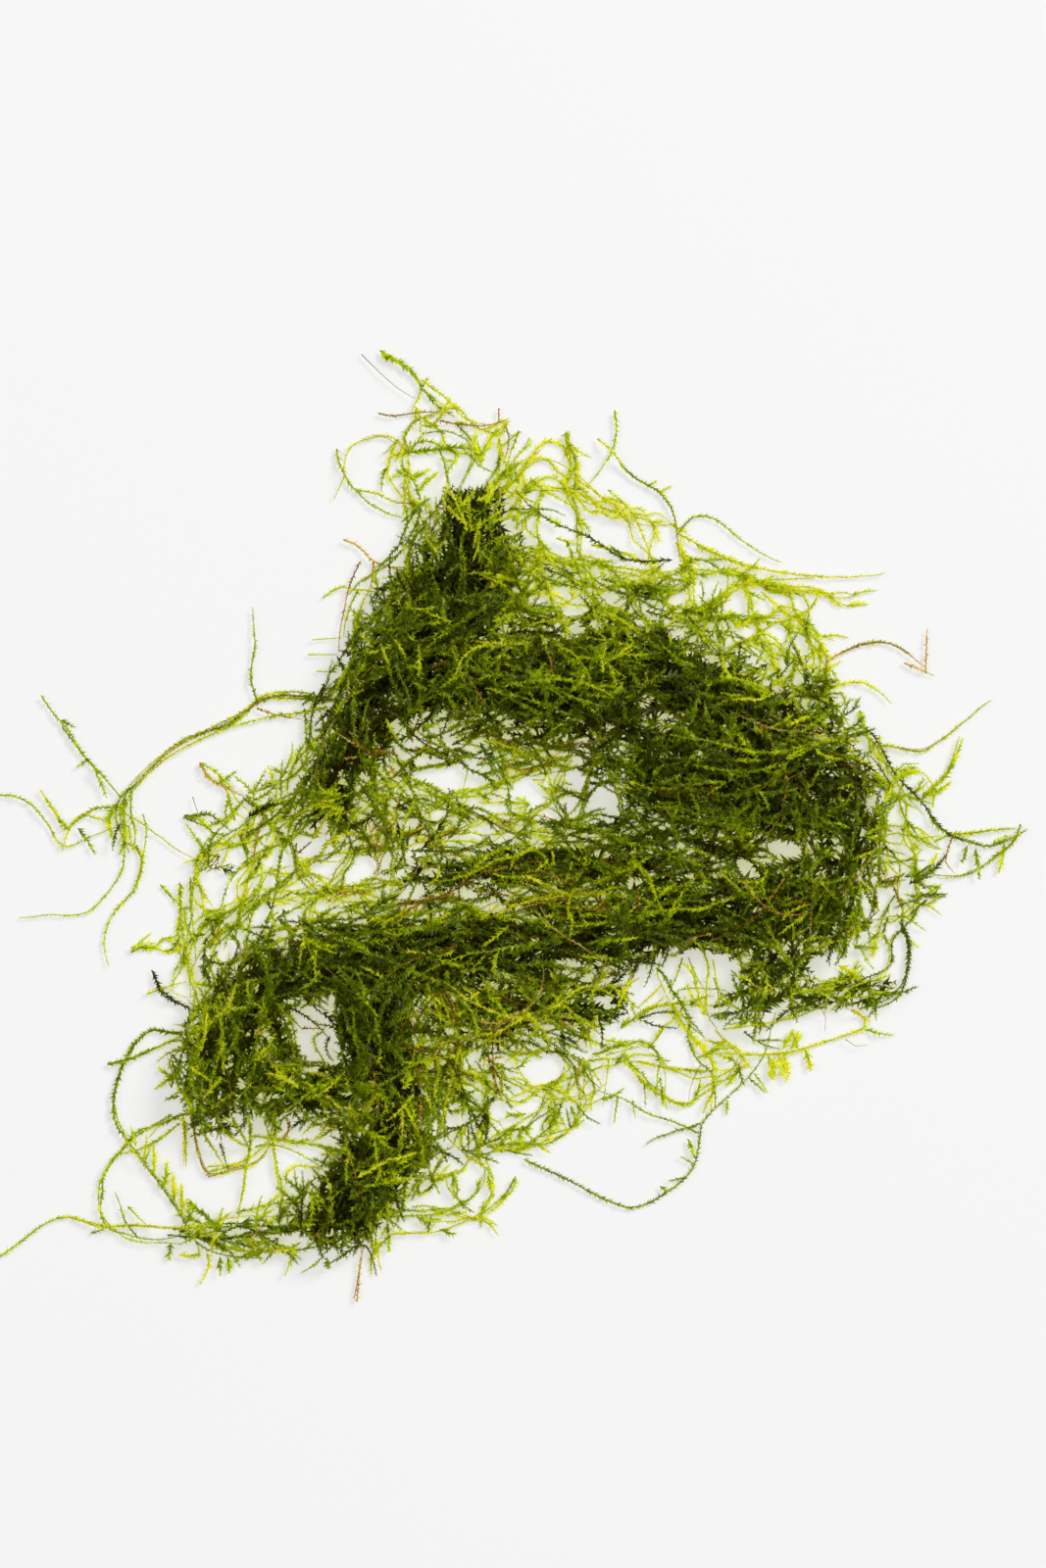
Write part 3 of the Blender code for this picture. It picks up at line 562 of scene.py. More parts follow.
def shoot(name, style, tone, route, branches):
    """Grow a free shoot along its route, and its side branches along theirs."""
    rng = generator(name)
    for text in [route] + branches:
        line = read_points(text)
        points = smooth(on_table([point[:2] for point in line]), STEP)
        heights = [point[2] if len(point) > 2 else SHOOT_HEIGHT for point in line]
        stations = np.linspace(0, len(line) - 1, len(points))
        level = np.interp(stations, np.arange(len(line)), heights)
        lift = np.abs(wander(rng, len(points), SHOOT_LIFT))
        level = level + SHOOT_RIDE_UP * surface(points) + lift
        drift = wander(rng, len(points), SHOOT_DRIFT)
        along, across = directions(points)
        placed = np.column_stack([points[:, :2] + across * drift[:, None], level])
        grow(name, rng, placed, style, tone, over_gaps=True)


def strand(name, style, tone, route):
    """Grow one fine stem along its route."""
    x, y = route.split()[0].split(",")
    rng = generator(f"{name}({x}, {y})")
    points = smooth(on_table(read_points(route)), STEP)
    lift = np.abs(wander(rng, len(points), STRAND_LIFT))
    level = STRAND_HEIGHT + STRAND_RIDE_UP * surface(points) + lift
    grow(name, rng, np.column_stack([points[:, :2], level]), style, tone, over_gaps=True)


def plant(title, kind, pieces):
    """Grow everything on a list, piece by piece, and print how many lines there are."""
    for name, entries in pieces.items():
        for entry in entries:
            kind(name, *entry)
    print(title + ":", sum(len(lines) for lines in growth.values()), "lines so far")


# %% [markdown]
# ## Round the clump, area by area
#
# Each list says what grows in an area, by the piece that it belongs to.  A net has a kind, a
# change of tone, a number of strands and its stems, each with a half thickness and a route.
# A patch has a kind or mixture, a change of tone, the angle that most of its stems follow,
# how many layers of stem it has, the height they reach and its outline.  A shoot has a
# kind, a change of tone, a route and its branches, and a strand has a kind, a change of
# tone and a route.

# %% [markdown]
# ### The peak
#
# The tower of dark rope at the top ends in a thin open peak.  Young shoots loop away from
# it on both sides, and one dead twig shows orange against the green.

# %% The peak: nets
plant("the peak, nets", net, {
    "peak_lace": [
        ("slender", -0.03, 1, [
            (1, "425,416 416,440 416,470 419,500 430,535 445,560"),
            (0.9, "440,424 449,455 455,480 464,505 474,530"),
            (0.9, "428,426 462,421 500,434 517,432 519,455 512,480 506,520"),
            (0.9, "418,462 447,458 476,458 492,470 512,476"),
            (0.8, "466,430 480,455 476,486 464,510"),
            (0.8, "540,447 528,464 512,486 498,520"),
            (0.7, "403,448 398,470 402,488 424,508"),
        ]),
    ],
})

# %% The peak: patches
plant("the peak, patches", patch, {
    "tower": [
        ("fringe", -0.1, 65, 0.5, 4.0,
         "330,700 338,655 368,600 398,545 402,505 430,500 440,540 410,600 380,650 360,700"),
        ("brown", 0.0, -40, 0.6, 3.0, "355,745 395,745 405,790 370,795"),
        ("matted", 0.05, 60, 1.0, 3.0, "302,700 345,670 352,740 312,765"),
        ("matted", -0.04, 30, 1.6, 5.0,
         "495,545 535,550 555,600 575,655 560,680 440,670 430,620 490,610"),
        ("matted", 0.0, 65, 1.2, 5.0, "342,650 382,620 388,690 340,712"),
    ],
    "peak_lace": [
        ("fringe", -0.03, 70, 0.08, 2.5,
         "402,448 416,408 440,404 470,420 518,426 530,455 545,492 520,505 440,502 405,520"),
        ("web", 0.0, 70, 1.0, 3.0, "406,472 450,478 456,520 410,530"),
        ("leafy", 0.12, 70, 0.8, 7.0, "458,505 505,500 508,560 465,565"),
    ],
})

# %% The peak: shoots
plant("the peak, shoots", shoot, {
    "peak_crest_shoot": [
        ("bright", -0.04, "388,358 406,369 420,381 430,396 447,411 464,418", [
            "430,396 437,386",
        ]),
    ],
    "peak_loop_shoot": [
        ("slender", 0, "420,462 402,450 386,445 370,448 358,460 351,478,2.4 347,494 343,510", []),
    ],
    "peak_side_shoot": [
        ("slender", -0.04, "343,458 347,472 356,491 369,508 388,521 420,532", []),
    ],
    "orange_twig": [
        ("amber", 0, "350,552 363,557 379,571 396,577 420,580", [
            "381,573 380,592 375,610",
        ]),
    ],
    "tower_side_shoot": [
        ("slender", -0.04, "330,611 345,600 366,602 392,606", [
            "366,602 357,622 349,648",
        ]),
    ],
})

# %% The peak: strands
plant("the peak, strands", strand, {
    "tower": [
        ("dark", 0.0, "396,725 406,731 415,741 422,749 428,755 442,764 455,768"),
        ("brown", 0.0, "429,734 423,747 414,758"),
        ("bright", 0.0, "396,734 401,746 407,755"),
        ("wiry", 0.1, "318,653 332,652 347,651"),
        ("wiry", 0.1, "314,668 330,668 344,668"),
        ("wiry", 0.1, "323,685 332,685 344,686"),
    ],
    "peak_lace": [
        ("leafy", 0.0, "432,397 440,408 448,416 463,425"),
        ("brown", 0.0, "386,422 400,425 415,423 430,421 462,421"),
        ("brown", 0.0, "445,428 460,432 490,435 505,433 518,428"),
        ("brown", 0.0, "509,417 509,424 509,432"),
        ("brown", 0.0, "515,432 519,445 519,455 513,475"),
        ("brown", 0.0, "430,427 420,432 415,442 413,452 417,460"),
        ("wiry", 0.1, "430,443 455,440 468,445 478,450 481,458 481,470 478,480 468,500"),
        ("lush", -0.1, "418,462 445,459 475,457 485,462 492,470"),
        ("leafy", 0.1, "448,458 452,468 455,480 460,500"),
        ("leafy", 0.0, "419,450 416,465 418,480 417,500 419,520 425,545"),
        ("lush", 0.0, "417,462 405,464 395,469"),
        ("lush", 0.0, "418,484 409,483 400,488"),
        ("lush", 0.0, "418,490 428,484 438,480"),
        ("leafy", 0.1, "529,440 525,452 521,462 514,490"),
        ("bright", 0.0, "540,447 541,454 530,462 520,480"),
    ],
    "peak_crest_shoot": [
        ("lush", 0.0, "388,358 398,367 407,370 418,378 426,386"),
        ("bright", 0.0, "426,386 430,395 428,405 424,412 420,420"),
        ("thread", 0.0, "369,362 385,378 405,396 423,407"),
        ("leafy", 0.0, "430,388 440,396 452,404 460,412 466,420 472,426 485,432 500,434"),
    ],
    "peak_loop_shoot": [
        ("thread", 0.05, "417,462 400,450 390,446 380,444 370,448"),
    ],
    "peak_side_shoot": [
        ("slender", 0.0, "364,500 388,505 398,511 420,515"),
    ],
    "tower_side_shoot": [
        ("brown", 0.0, "368,573 357,597 352,620 347,645 346,665"),
    ],
})

# %% [markdown]
# ### The north side
#
# The upper band is long and low, with lace above and below it.  Its free shoots stand
# straight up or bend over in arches.

# %% The north side: nets
plant("the north side, nets", net, {
    "north_lace_west": [
        ("bright", 0.01, 2, [
            (1, "512,503 535,481 557,469 584,481 606,500 632,524 655,548 672,575 684,605"),
            (1, "520,530 545,503 575,504 610,518 645,533 686,541"),
            (0.8, "584,440 585,472 588,510 596,560 604,600 612,640"),
            (1.2, "505,556 550,562 600,572 645,588 690,604"),
            (1.1, "500,598 555,606 605,616 655,622"),
            (0.9, "548,498 546,540 552,580 560,625"),
        ]),
    ],
    "north_lace_east": [
        ("bright", 0.01, 2, [
            (0.9, "692,552 702,585 708,622 722,655"),
            (1, "692,584 732,585 770,594 804,612 826,645 846,690"),
            (1.2, "680,622 732,612 768,590"),
            (1, "700,640 745,632 790,634 818,652 836,684 850,715"),
            (0.9, "746,672 772,650 797,660 824,690"),
            (0.9, "752,592 762,625 776,655 792,700"),
            (0.8, "778,596 820,603 850,609 873,608"),
        ]),
    ],
})

# %% The north side: patches
plant("the north side, patches", patch, {
    "upper_band": [
        ("old", 0.04, 0, 0.5, 3.0, "600,680 690,690 720,720 712,768 640,775 570,765 590,720"),
        ("leafy", 0.0, 0, 0.8, 4.0, "500,640 620,650 640,690 600,760 480,760 450,700"),
        ("web", -0.03, 5, 1.3, 4.0, "405,735 520,740 595,765 520,780 425,784"),
        ("web", -0.06, -5, 0.8, 4.0, "430,745 520,750 640,750 630,785 520,790 430,785"),
        ("matted", -0.04, -40, 1.2, 4.0, "400,790 430,755 470,758 470,778 415,805"),
    ],
    "north_shoulder": [
        ("matted", 0.04, 50, 1.3, 4.0, "792,662 826,665 850,700 850,740 832,755 808,720"),
    ],
    "north_lace_west": [
        ("fringe", 0.0, -30, 0.35, 5.0,
         "520,500 560,496 600,506 640,530 690,552 710,600 690,640 640,655 560,650 500,640 "
         "500,560"),
        ("leafy", 0.03, -10, 1.4, 4.0,
         "490,555 560,565 640,590 692,588 700,640 650,655 560,662 492,652"),
        ("matted", 0.06, 5, 1.6, 4.0, "600,590 690,585 700,615 610,620"),
    ],
    "north_lace_east": [
        ("fringe", 0.0, -25, 0.25, 3.0,
         "690,575 740,580 830,590 846,640 868,690 872,740 850,760 800,700 750,690 700,650"),
        ("matted", 0.04, 35, 1.2, 4.0,
         "680,620 700,615 745,640 790,668 850,690 876,722 850,750 800,760 795,700 730,675 "
         "690,648"),
        ("leafy", 0.0, 35, 0.8, 4.0, "700,585 735,590 770,660 745,672 705,625"),
    ],
})

# %% The north side: shoots
plant("the north side, shoots", shoot, {
    "north_spire_shoot": [
        ("slender", -0.04, "627,419 629,440 625,460 613,479 601,494", []),
    ],
    "north_arch_shoot": [
        ("slender", 0, "609,448 624,461,2.6 640,480 660,495 676,505 687,524 690,541", [
            "660,495 670,491",
            "674,503 685,499",
        ]),
    ],
    "north_runner_shoot": [
        ("slender", -0.04, "690,544 712,556 742,570 775,581 820,587 860,589 888,588 900,586", [
            "690,544 706,527 728,531 752,549 776,563 797,573",
        ]),
    ],
    "orange_tipped_sprig": [
        ("amber", 0, "842,676 862,665 882,657 906,656 926,667 944,683", [
            "922,676 937,682 952,689",
            "945,684 946,664 945,642",
        ]),
    ],
    "right_curl_shoot": [
        ("slender", 0.04, "846,704 864,696 880,697 894,705 908,716", []),
    ],
})

# %% The north side: strands
plant("the north side, strands", strand, {
    "north_lace_west": [
        ("wiry", 0.2,
         "515,500 525,490 535,480 545,472 555,469 568,472 582,480 595,490 605,499 618,512 "
         "640,531 650,540"),
        ("wiry", -0.05,
         "525,520 530,505 540,501 568,501 580,505 610,518 640,530 655,536 680,537"),
        ("leafy", 0.1, "541,487 548,496 570,509 590,520"),
        ("leafy", 0.0, "520,520 535,520 560,520 575,526"),
        ("bright", 0.0, "620,500 632,510 640,518 648,530 655,545 664,568"),
        ("dark", 0.0, "580,635 595,630 615,613"),
        ("dark", 0.0, "518,560 540,572 570,586 600,596"),
    ],
    "north_lace_east": [
        ("bright", 0.0, "745,597 785,598 820,604 840,607 855,611 873,608"),
        ("lush", 0.0, "700,625 715,620 730,612 745,600 762,587"),
        ("bright", 0.0, "740,628 770,629 795,628"),
        ("bright", 0.0, "833,610 828,620 820,626 790,637"),
        ("leafy", 0.1, "795,637 810,640 825,647 838,657 845,670 846,700"),
        ("bright", 0.0, "750,660 765,652 778,646 790,652 800,662 815,672 825,685"),
    ],
    "north_arch_shoot": [
        ("slender", 0.0,
         "632,473 642,483 652,491 662,496 672,502 680,512 686,522 689,535 692,560 694,572"),
    ],
    "north_runner_shoot": [
        ("lush", 0.05, "710,556 725,563 740,570 755,576 770,580"),
        ("bright", 0.0, "690,580 730,583 750,586 770,592 830,590"),
    ],
    "orange_tipped_sprig": [
        ("wiry", 0.15, "859,665 880,657 898,655 917,660 930,670"),
    ],
})

# %% [markdown]
# ### The east side
#
# The widest and darkest mass lies here.  Past it the growth thins quickly to a fringe,
# and long runners reach out over the table.

# %% The east side: nets
plant("the east side, nets", net, {
    "east_fringe": [
        ("slender", -0.05, 2, [
            (1.1, "888,786 906,804 922,836 934,870 938,905 920,932 892,948"),
            (1, "870,736 891,750 903,772 913,790 930,808 946,826"),
            (1, "888,826 903,858 911,890 914,925"),
            (0.9, "880,852 912,850 940,858 958,864"),
            (1, "884,882 912,883 942,878"),
            (0.9, "890,828 915,812 936,806"),
            (0.9, "930,914 948,913 964,912"),
        ]),
    ],
})

# %% The east side: patches
plant("the east side, patches", patch, {
    "east_mass": [
        ("matted", 0.0, 0, 1.2, 4.0, "590,760 650,750 655,810 600,810"),
        ("matted", -0.04, -30, 1.8, 4.0, "600,745 660,745 655,795 600,785"),
        ("matted", 0.0, -20, 1.8, 5.0, "668,820 785,830 772,856 745,882 690,886 662,860"),
        ("matted", 0.0, 10, 1.8, 3.0, "550,825 690,832 780,862 770,892 690,888 550,860"),
        ("leafy", 0.1, 20, 0.8, 9.0, "730,688 800,705 800,725 735,715"),
    ],
    "east_fringe": [
        ("fringe", -0.06, 80, 0.25, 3.0,
         "880,755 905,780 945,815 955,860 945,905 920,940 890,975 868,940 878,850"),
        ("web", -0.03, 20, 1.5, 3.0, "912,895 950,880 956,915 925,936"),
        ("web", 0.0, 70, 1.0, 3.0, "885,890 925,880 925,925 905,965 880,955"),
    ],
})

# %% The east side: shoots
plant("the east side, shoots", shoot, {
    "east_high_runner": [
        ("slender", -0.04, "894,762 914,762 937,765 958,756 984,738 1009,714", []),
    ],
    "east_feather_shoot": [
        ("bright", 0, "938,814 952,802 965,788 974,772 981,755", [
            "940,812 956,807 969,798",
        ]),
    ],
    "east_long_stem": [
        ("leafy", 0, "948,830 956,842 970,853 990,859 1010,863 1030,856,2.6 1045,847,2", [
            "968,852 990,850 1012,847 1034,846",
        ]),
    ],
    "east_low_arc": [
        ("slender", -0.04, "1041,841,0.8 1036,856 1024,868 1006,880 988,890 966,895 944,890", []),
    ],
    "east_lower_loop": [
        ("leafy", 0.05, "920,936 925,955 926,975 923,996 916,1008 900,1018", [
            "923,948 911,955 905,968 906,981 896,993 876,1003 856,1010",
        ]),
    ],
})

# %% The east side: strands
plant("the east side, strands", strand, {
    "east_fringe": [
        ("wiry", 0.1, "912,788 920,780 936,779"),
        ("bright", 0.0, "897,750 896,770 895,790"),
        ("leafy", 0.1, "918,845 930,852 945,860 958,866"),
        ("dark", 0.1, "948,913 956,912 964,912"),
    ],
    "east_high_runner": [
        ("thread", 0.1, "884,761 912,762 935,765 953,759 978,740 1009,715"),
    ],
    "east_feather_shoot": [
        ("lush", 0.0, "940,815 953,802 966,789 976,769 981,755"),
        ("leafy", 0.1, "943,813 958,807 968,798"),
        ("leafy", 0.1, "935,808 938,801 941,795"),
    ],
    "east_long_stem": [
        ("dark", 0.05,
         "876,740 889,748 897,761 905,776 912,789 927,805 943,822 950,833 966,850 989,859 "
         "1009,863 1030,856 1045,847"),
        ("leafy", 0.05, "953,858 968,852 989,850 1009,847 1030,845"),
        ("lush", -0.1, "986,863 984,871 981,879"),
        ("lush", -0.1, "995,866 996,880 998,895"),
        ("lush", -0.1, "1024,861 1022,875 1019,889"),
        ("leafy", 0.0, "1012,861 1022,854 1031,853"),
    ],
    "east_low_arc": [
        ("wiry", 0.1, "1040,843 1035,858 1024,868 1009,879 989,889 973,895 956,896 948,890"),
        ("brown", 0.0, "972,853 965,870 964,880 972,890"),
    ],
    "east_lower_loop": [
        ("slender", 0.0, "919,932 930,940 943,949"),
        ("slender", -0.1, "917,940 925,958 926,975 924,996 920,1009 910,1021 889,1029"),
        ("slender", 0.0, "926,960 931,963 936,966"),
        ("wiry", 0.1, "912,952 906,965 907,980 899,993 876,1003 856,1011"),
        ("lush", 0.05, "894,955 892,965 889,975"),
    ],
})

# %% [markdown]
# ### The middle
#
# The central rope crosses the whole clump.  Its neighbours are lace with many gaps, so
# most of what grows here is patches and fine strands.

# %% The middle: nets
plant("the middle, nets", net, {
    "central_web": [
        ("leafy", 0.04, 2, [
            (1, "398,765 414,800 430,830 440,860 446,892"),
            (1, "418,802 458,820 498,838 532,842 556,824 574,800 586,765"),
            (1, "432,828 470,812 494,806 532,790 572,774"),
            (0.9, "372,800 390,830 402,862 408,892"),
            (1, "402,848 445,858 490,858 524,846"),
            (0.9, "536,842 548,862 560,888"),
            (0.9, "604,765 598,800 586,836 598,880"),
            (0.9, "650,828 622,846 588,842 550,822"),
            (0.9, "504,752 516,782 514,800"),
        ]),
    ],
})

# %% The middle: patches
plant("the middle, patches", patch, {
    "middle_band_west": [
        ("matted", 0.02, 10, 1.2, 4.0, "245,985 262,950 300,932 345,930 380,935 380,960 300,985"),
        ("matted", 0.0, 0, 1.1, 3.0, "560,925 650,905 690,940 680,985 640,1000 600,960"),
        ("web", 0.0, -10, 1.4, 4.0, "345,905 500,908 505,940 350,945"),
        ("matted", 0.0, 60, 1.0, 4.0, "265,905 295,925 300,952 275,945"),
        ("matted", 0.0, 25, 1.0, 4.0, "335,935 375,920 410,905 410,922 375,948"),
    ],
    "central_web": [
        ("web", 0.01, 5, 0.85, 3.0,
         "430,735 600,745 660,790 670,850 620,870 420,885 380,850 368,790"),
        ("web", 0.0, 0, 0.9, 4.0, "400,880 660,870 680,930 400,940"),
        ("web", -0.03, 10, 1.5, 3.0, "372,790 425,815 480,828 480,858 390,880 350,860 352,830"),
        ("web", -0.05, 0, 1.4, 4.0, "480,890 640,885 640,935 480,935"),
        ("web", 0.0, 10, 0.9, 3.0, "405,850 500,850 500,878 405,870"),
        ("web", -0.04, 60, 1.2, 3.0, "395,888 412,840 440,840 425,885"),
    ],
})

# %% The middle: strands
plant("the middle, strands", strand, {
    "central_web": [
        ("dark", 0.0, "405,775 415,790 420,805 425,820 435,848"),
        ("leafy", 0.1, "420,802 440,810 460,820 480,830 500,838 515,843 530,843 550,828"),
        ("bright", -0.05, "470,815 475,808 490,806 520,795 560,780 580,773"),
        ("wiry", 0.0, "478,783 475,795 472,808"),
        ("leafy", 0.1, "505,760 515,775 525,785"),
        ("wiry", 0.1, "575,800 560,815 540,832"),
    ],
})

# %% [markdown]
# ### The west side
#
# A web of thin stems hangs between the bands, and most of the free shoots of the clump
# trail out of it to the left, far apart from one another.

# %% The west side: nets
plant("the west side, nets", net, {
    "west_web": [
        ("leafy", 0.08, 2, [
            (1.2, "350,806 306,812 266,828 232,850 208,880 196,915 192,960 200,1010 215,1040"),
            (1, "350,828 310,846 280,864 248,895 222,928 206,962"),
            (1.2, "400,842 360,856 322,876 298,892 268,914 240,942 216,972 208,1010"),
            (0.9, "182,902 183,940 188,975 202,1012"),
            (0.9, "250,812 276,838 298,862 304,890 326,912"),
            (1.1, "412,896 365,902 325,908 286,906"),
            (0.9, "362,862 345,892 324,915 318,940 322,975"),
            (0.9, "205,778 214,795 234,807 262,830"),
            (0.8, "187,834 206,841 234,850"),
            (0.5, "134,967 160,968 190,966"),
        ]),
    ],
})

# %% The west side: patches
plant("the west side, patches", patch, {
    "west_web": [
        ("web", 0.04, 55, 0.6, 2.0,
         "340,790 300,800 240,830 210,870 200,920 200,990 235,1010 270,960 340,935 405,925 "
         "405,870 380,830"),
        ("leafy", 0.02, 45, 0.8, 3.0,
         "212,850 250,800 300,765 335,745 345,790 325,840 270,860 225,885"),
        ("web", 0.0, 60, 0.9, 3.0, "245,925 300,920 300,965 245,980 225,960"),
        ("web", -0.06, 60, 0.6, 3.0, "205,895 235,880 270,885 320,850 325,870 270,900 230,910"),
        ("web", -0.06, 55, 0.9, 3.0, "210,900 225,855 285,800 305,812 255,860 232,900"),
        ("leafy", 0.0, 60, 1.4, 3.0, "195,860 228,850 232,890 200,900"),
        ("web", 0.0, 60, 1.2, 3.0, "200,930 232,930 240,990 205,990"),
    ],
})

# %% The west side: shoots
plant("the west side, shoots", shoot, {
    "west_runner": [
        ("leafy", 0.05,
         "350,712 310,711 268,716 236,735 200,752 166,772 140,796 127,816 127,842", [
            "262,718 257,690 260,650 258,622",
        ]),
    ],
    "west_frond": [
        ("slender", -0.04,
         "200,1050 178,1053 154,1051 136,1069 121,1098 116,1126 130,1161,2.8 148,1186 175,1221 "
         "196,1254", [
            "147,1190 156,1168",
            "168,1212 171,1188",
            "178,1225 177,1202",
            "187,1240 185,1212",
        ]),
    ],
    "west_tails": [
        ("slender", -0.02, "127,848 127,874 118,902 98,925 74,934 45,933 20,937", [
            "127,858 142,868 145,885 136,908 118,930 107,956 108,974 111,985",
        ]),
    ],
    "far_west_shoot": [
        ("slender", -0.06, "0,810 20,813 38,828 52,847 66,863 92,853 124,844", []),
    ],
    "west_arm_shoot": [
        ("bright", -0.06, "126,824 98,825 80,836 66,846 56,826 42,807", []),
    ],
    "far_thread_shoot": [
        ("slender", -0.06,
         "0,1282 20,1268 43,1250 66,1241 88,1246 111,1250,2.8 134,1249 162,1251 190,1252", []),
    ],
    "west_diagonal_shoot": [
        ("slender", -0.06, "44,709 58,733 78,760 103,787 124,814", [
            "62,738 76,741",
            "90,773 78,781",
        ]),
    ],
    "upper_leaf_shoot": [
        ("bright", 0, "110,1085 129,1081,2.8 152,1072 176,1062 200,1060", []),
    ],
    "thin_link_shoot": [
        ("wiry", 0.1, "128,828 147,841 166,857 186,872 208,878", []),
    ],
    "dark_bit_thread": [
        ("dark", 0, "154,990 163,1010 178,1022 202,1030", []),
    ],
    "west_loop_shoot": [
        ("slender", -0.06,
         "200,1134 176,1139 157,1149 134,1164 112,1188 102,1214 105,1238 120,1255 147,1264 "
         "180,1264", [
            "141,1262 130,1252 122,1236 117,1217",
        ]),
    ],
})

# %% The west side: strands
plant("the west side, strands", strand, {
    "west_web": [
        ("amber", 0.0, "205,778 210,790 218,798 230,803 250,813"),
        ("leafy", 0.1, "187,834 198,838 210,843 222,852"),
        ("thread", 0.0, "197,813 201,825 205,838"),
        ("leafy", 0.1, "184,900 184,920 185,940 188,960 192,980 195,1015"),
        ("bright", -0.05, "195,895 195,920 199,960 200,980"),
        ("leafy", 0.15, "205,905 208,925 211,945"),
        ("leafy", 0.05, "300,890 285,903 270,913 255,928 240,942 225,955 210,965 195,990"),
        ("leafy", 0.1, "265,880 268,895 255,925"),
        ("wiry", 0.1, "320,878 350,878 360,860"),
        ("leafy", 0.1, "360,870 355,880 345,893 335,903 325,912 318,940"),
        ("leafy", 0.0, "300,912 320,912 340,906 380,902 400,898"),
        ("brown", 0.0, "303,860 302,885 312,892 318,895 322,908"),
    ],
    "west_runner": [
        ("brown", 0.0,
         "335,712 295,710 275,712 262,718 250,727 235,737 215,745 200,752 185,760 170,770 "
         "158,780 145,792 135,803"),
        ("bright", -0.1,
         "330,716 300,713 270,714 240,731 205,748 172,766 148,786 130,806 122,830"),
        ("bright", -0.12,
         "318,708 290,706 264,713 238,739 204,755 170,774 144,798 128,822 126,850 121,862"),
        ("lush", -0.1, "128,812 126,832 128,856 123,870"),
        ("lush", -0.1, "121,820 112,834 114,852"),
        ("leafy", 0.05, "335,722 310,727 285,730 262,735 225,745"),
        ("brown", 0.0, "262,723 285,730 307,734"),
        ("bright", -0.1, "140,800 125,812 118,830 124,850 132,868"),
        ("bright", -0.05, "135,806 134,830 139,850 136,866"),
    ],
    "west_frond": [
        ("bright", -0.08,
         "188,1055 172,1053 155,1051 140,1063 128,1082 121,1100 116,1128 118,1143 126,1157 "
         "147,1185 173,1221 195,1254 205,1268 230,1280 265,1283"),
        ("lush", 0.0, "156,1200 158,1185 156,1165"),
        ("lush", 0.0, "167,1211 170,1200 171,1186"),
        ("lush", 0.0, "178,1223 178,1212 177,1199"),
        ("lush", -0.05, "186,1234 186,1222 185,1209"),
        ("lush", 0.0, "195,1245 193,1235 191,1224"),
        ("slender", 0.0, "139,1169 137,1160 134,1150"),
        ("slender", 0.0, "147,1182 149,1171 150,1159"),
    ],
    "west_tails": [
        ("bright", -0.1, "124,840 118,852 116,866"),
        ("slender", 0.0, "132,842 134,858 140,872"),
        ("slender", 0.0, "140,862 145,875 145,890 140,902"),
        ("wiry", 0.1, "146,830 150,845 148,865 140,900"),
    ],
    "west_arm_shoot": [
        ("leafy", 0.1, "85,830 77,838 70,848 64,868"),
        ("bright", 0.0, "72,848 60,834 42,807"),
        ("bright", 0.0, "85,830 100,835 113,838"),
        ("leafy", 0.0, "80,845 88,855 97,870"),
    ],
    "far_thread_shoot": [
        ("slender", 0.0,
         "74,1241 89,1247 104,1252 115,1251 152,1250 195,1250 217,1244 260,1239 282,1241"),
        ("slender", -0.1, "93,1258 100,1256 106,1254"),
    ],
    "west_diagonal_shoot": [
        ("bright", -0.1, "64,741 84,768 106,792 122,812"),
        ("bright", 0.0, "97,783 103,797 109,813"),
    ],
    "upper_leaf_shoot": [
        ("bright", 0.0, "110,1086 128,1082 153,1072 172,1063 188,1056"),
    ],
    "dark_bit_thread": [
        ("dark", 0.0, "159,994 164,1011 178,1022 191,1027"),
        ("leafy", 0.1, "150,1014 175,1005 190,1002"),
    ],
    "west_loop_shoot": [
        ("slender", 0.0,
         "176,1137 160,1146 147,1154 134,1163 121,1176 111,1189 104,1202 101,1217 103,1234 "
         "108,1245 117,1254 130,1263 147,1267 186,1267"),
        ("wiry", 0.1, "184,1141 169,1143 152,1161"),
        ("slender", 0.0, "184,1146 171,1156 158,1165 143,1172 119,1178"),
        ("slender", 0.0, "131,1230 141,1241 150,1250"),
    ],
})

# %% [markdown]
# ### The south side
#
# A ring of rope hangs below the middle, and a column runs down from it to the tail,
# which ends in a fan of bright, open growth.

# %% The south side: nets
plant("the south side, nets", net, {
    "tail_fringe": [
        ("slender", -0.02, 1, [
            (1.2,
             "410,1104 450,1090 486,1096 497,1128 496,1165 499,1195 500,1222 488,1240 458,1253 "
             "430,1258 395,1256"),
            (1, "425,1199 443,1199 462,1197 477,1190 482,1178 494,1168"),
            (0.9, "392,1241 440,1239 470,1229 490,1213 498,1196"),
            (0.9, "526,1202 520,1213 500,1229"),
            (0.9, "452,1199 459,1216 478,1228"),
            (0.8, "458,1236 483,1243 507,1249"),
            (0.9, "398,1256 384,1270 380,1284 384,1298"),
            (0.9, "452,1088 462,1112 466,1142 476,1170 480,1182"),
        ]),
    ],
})

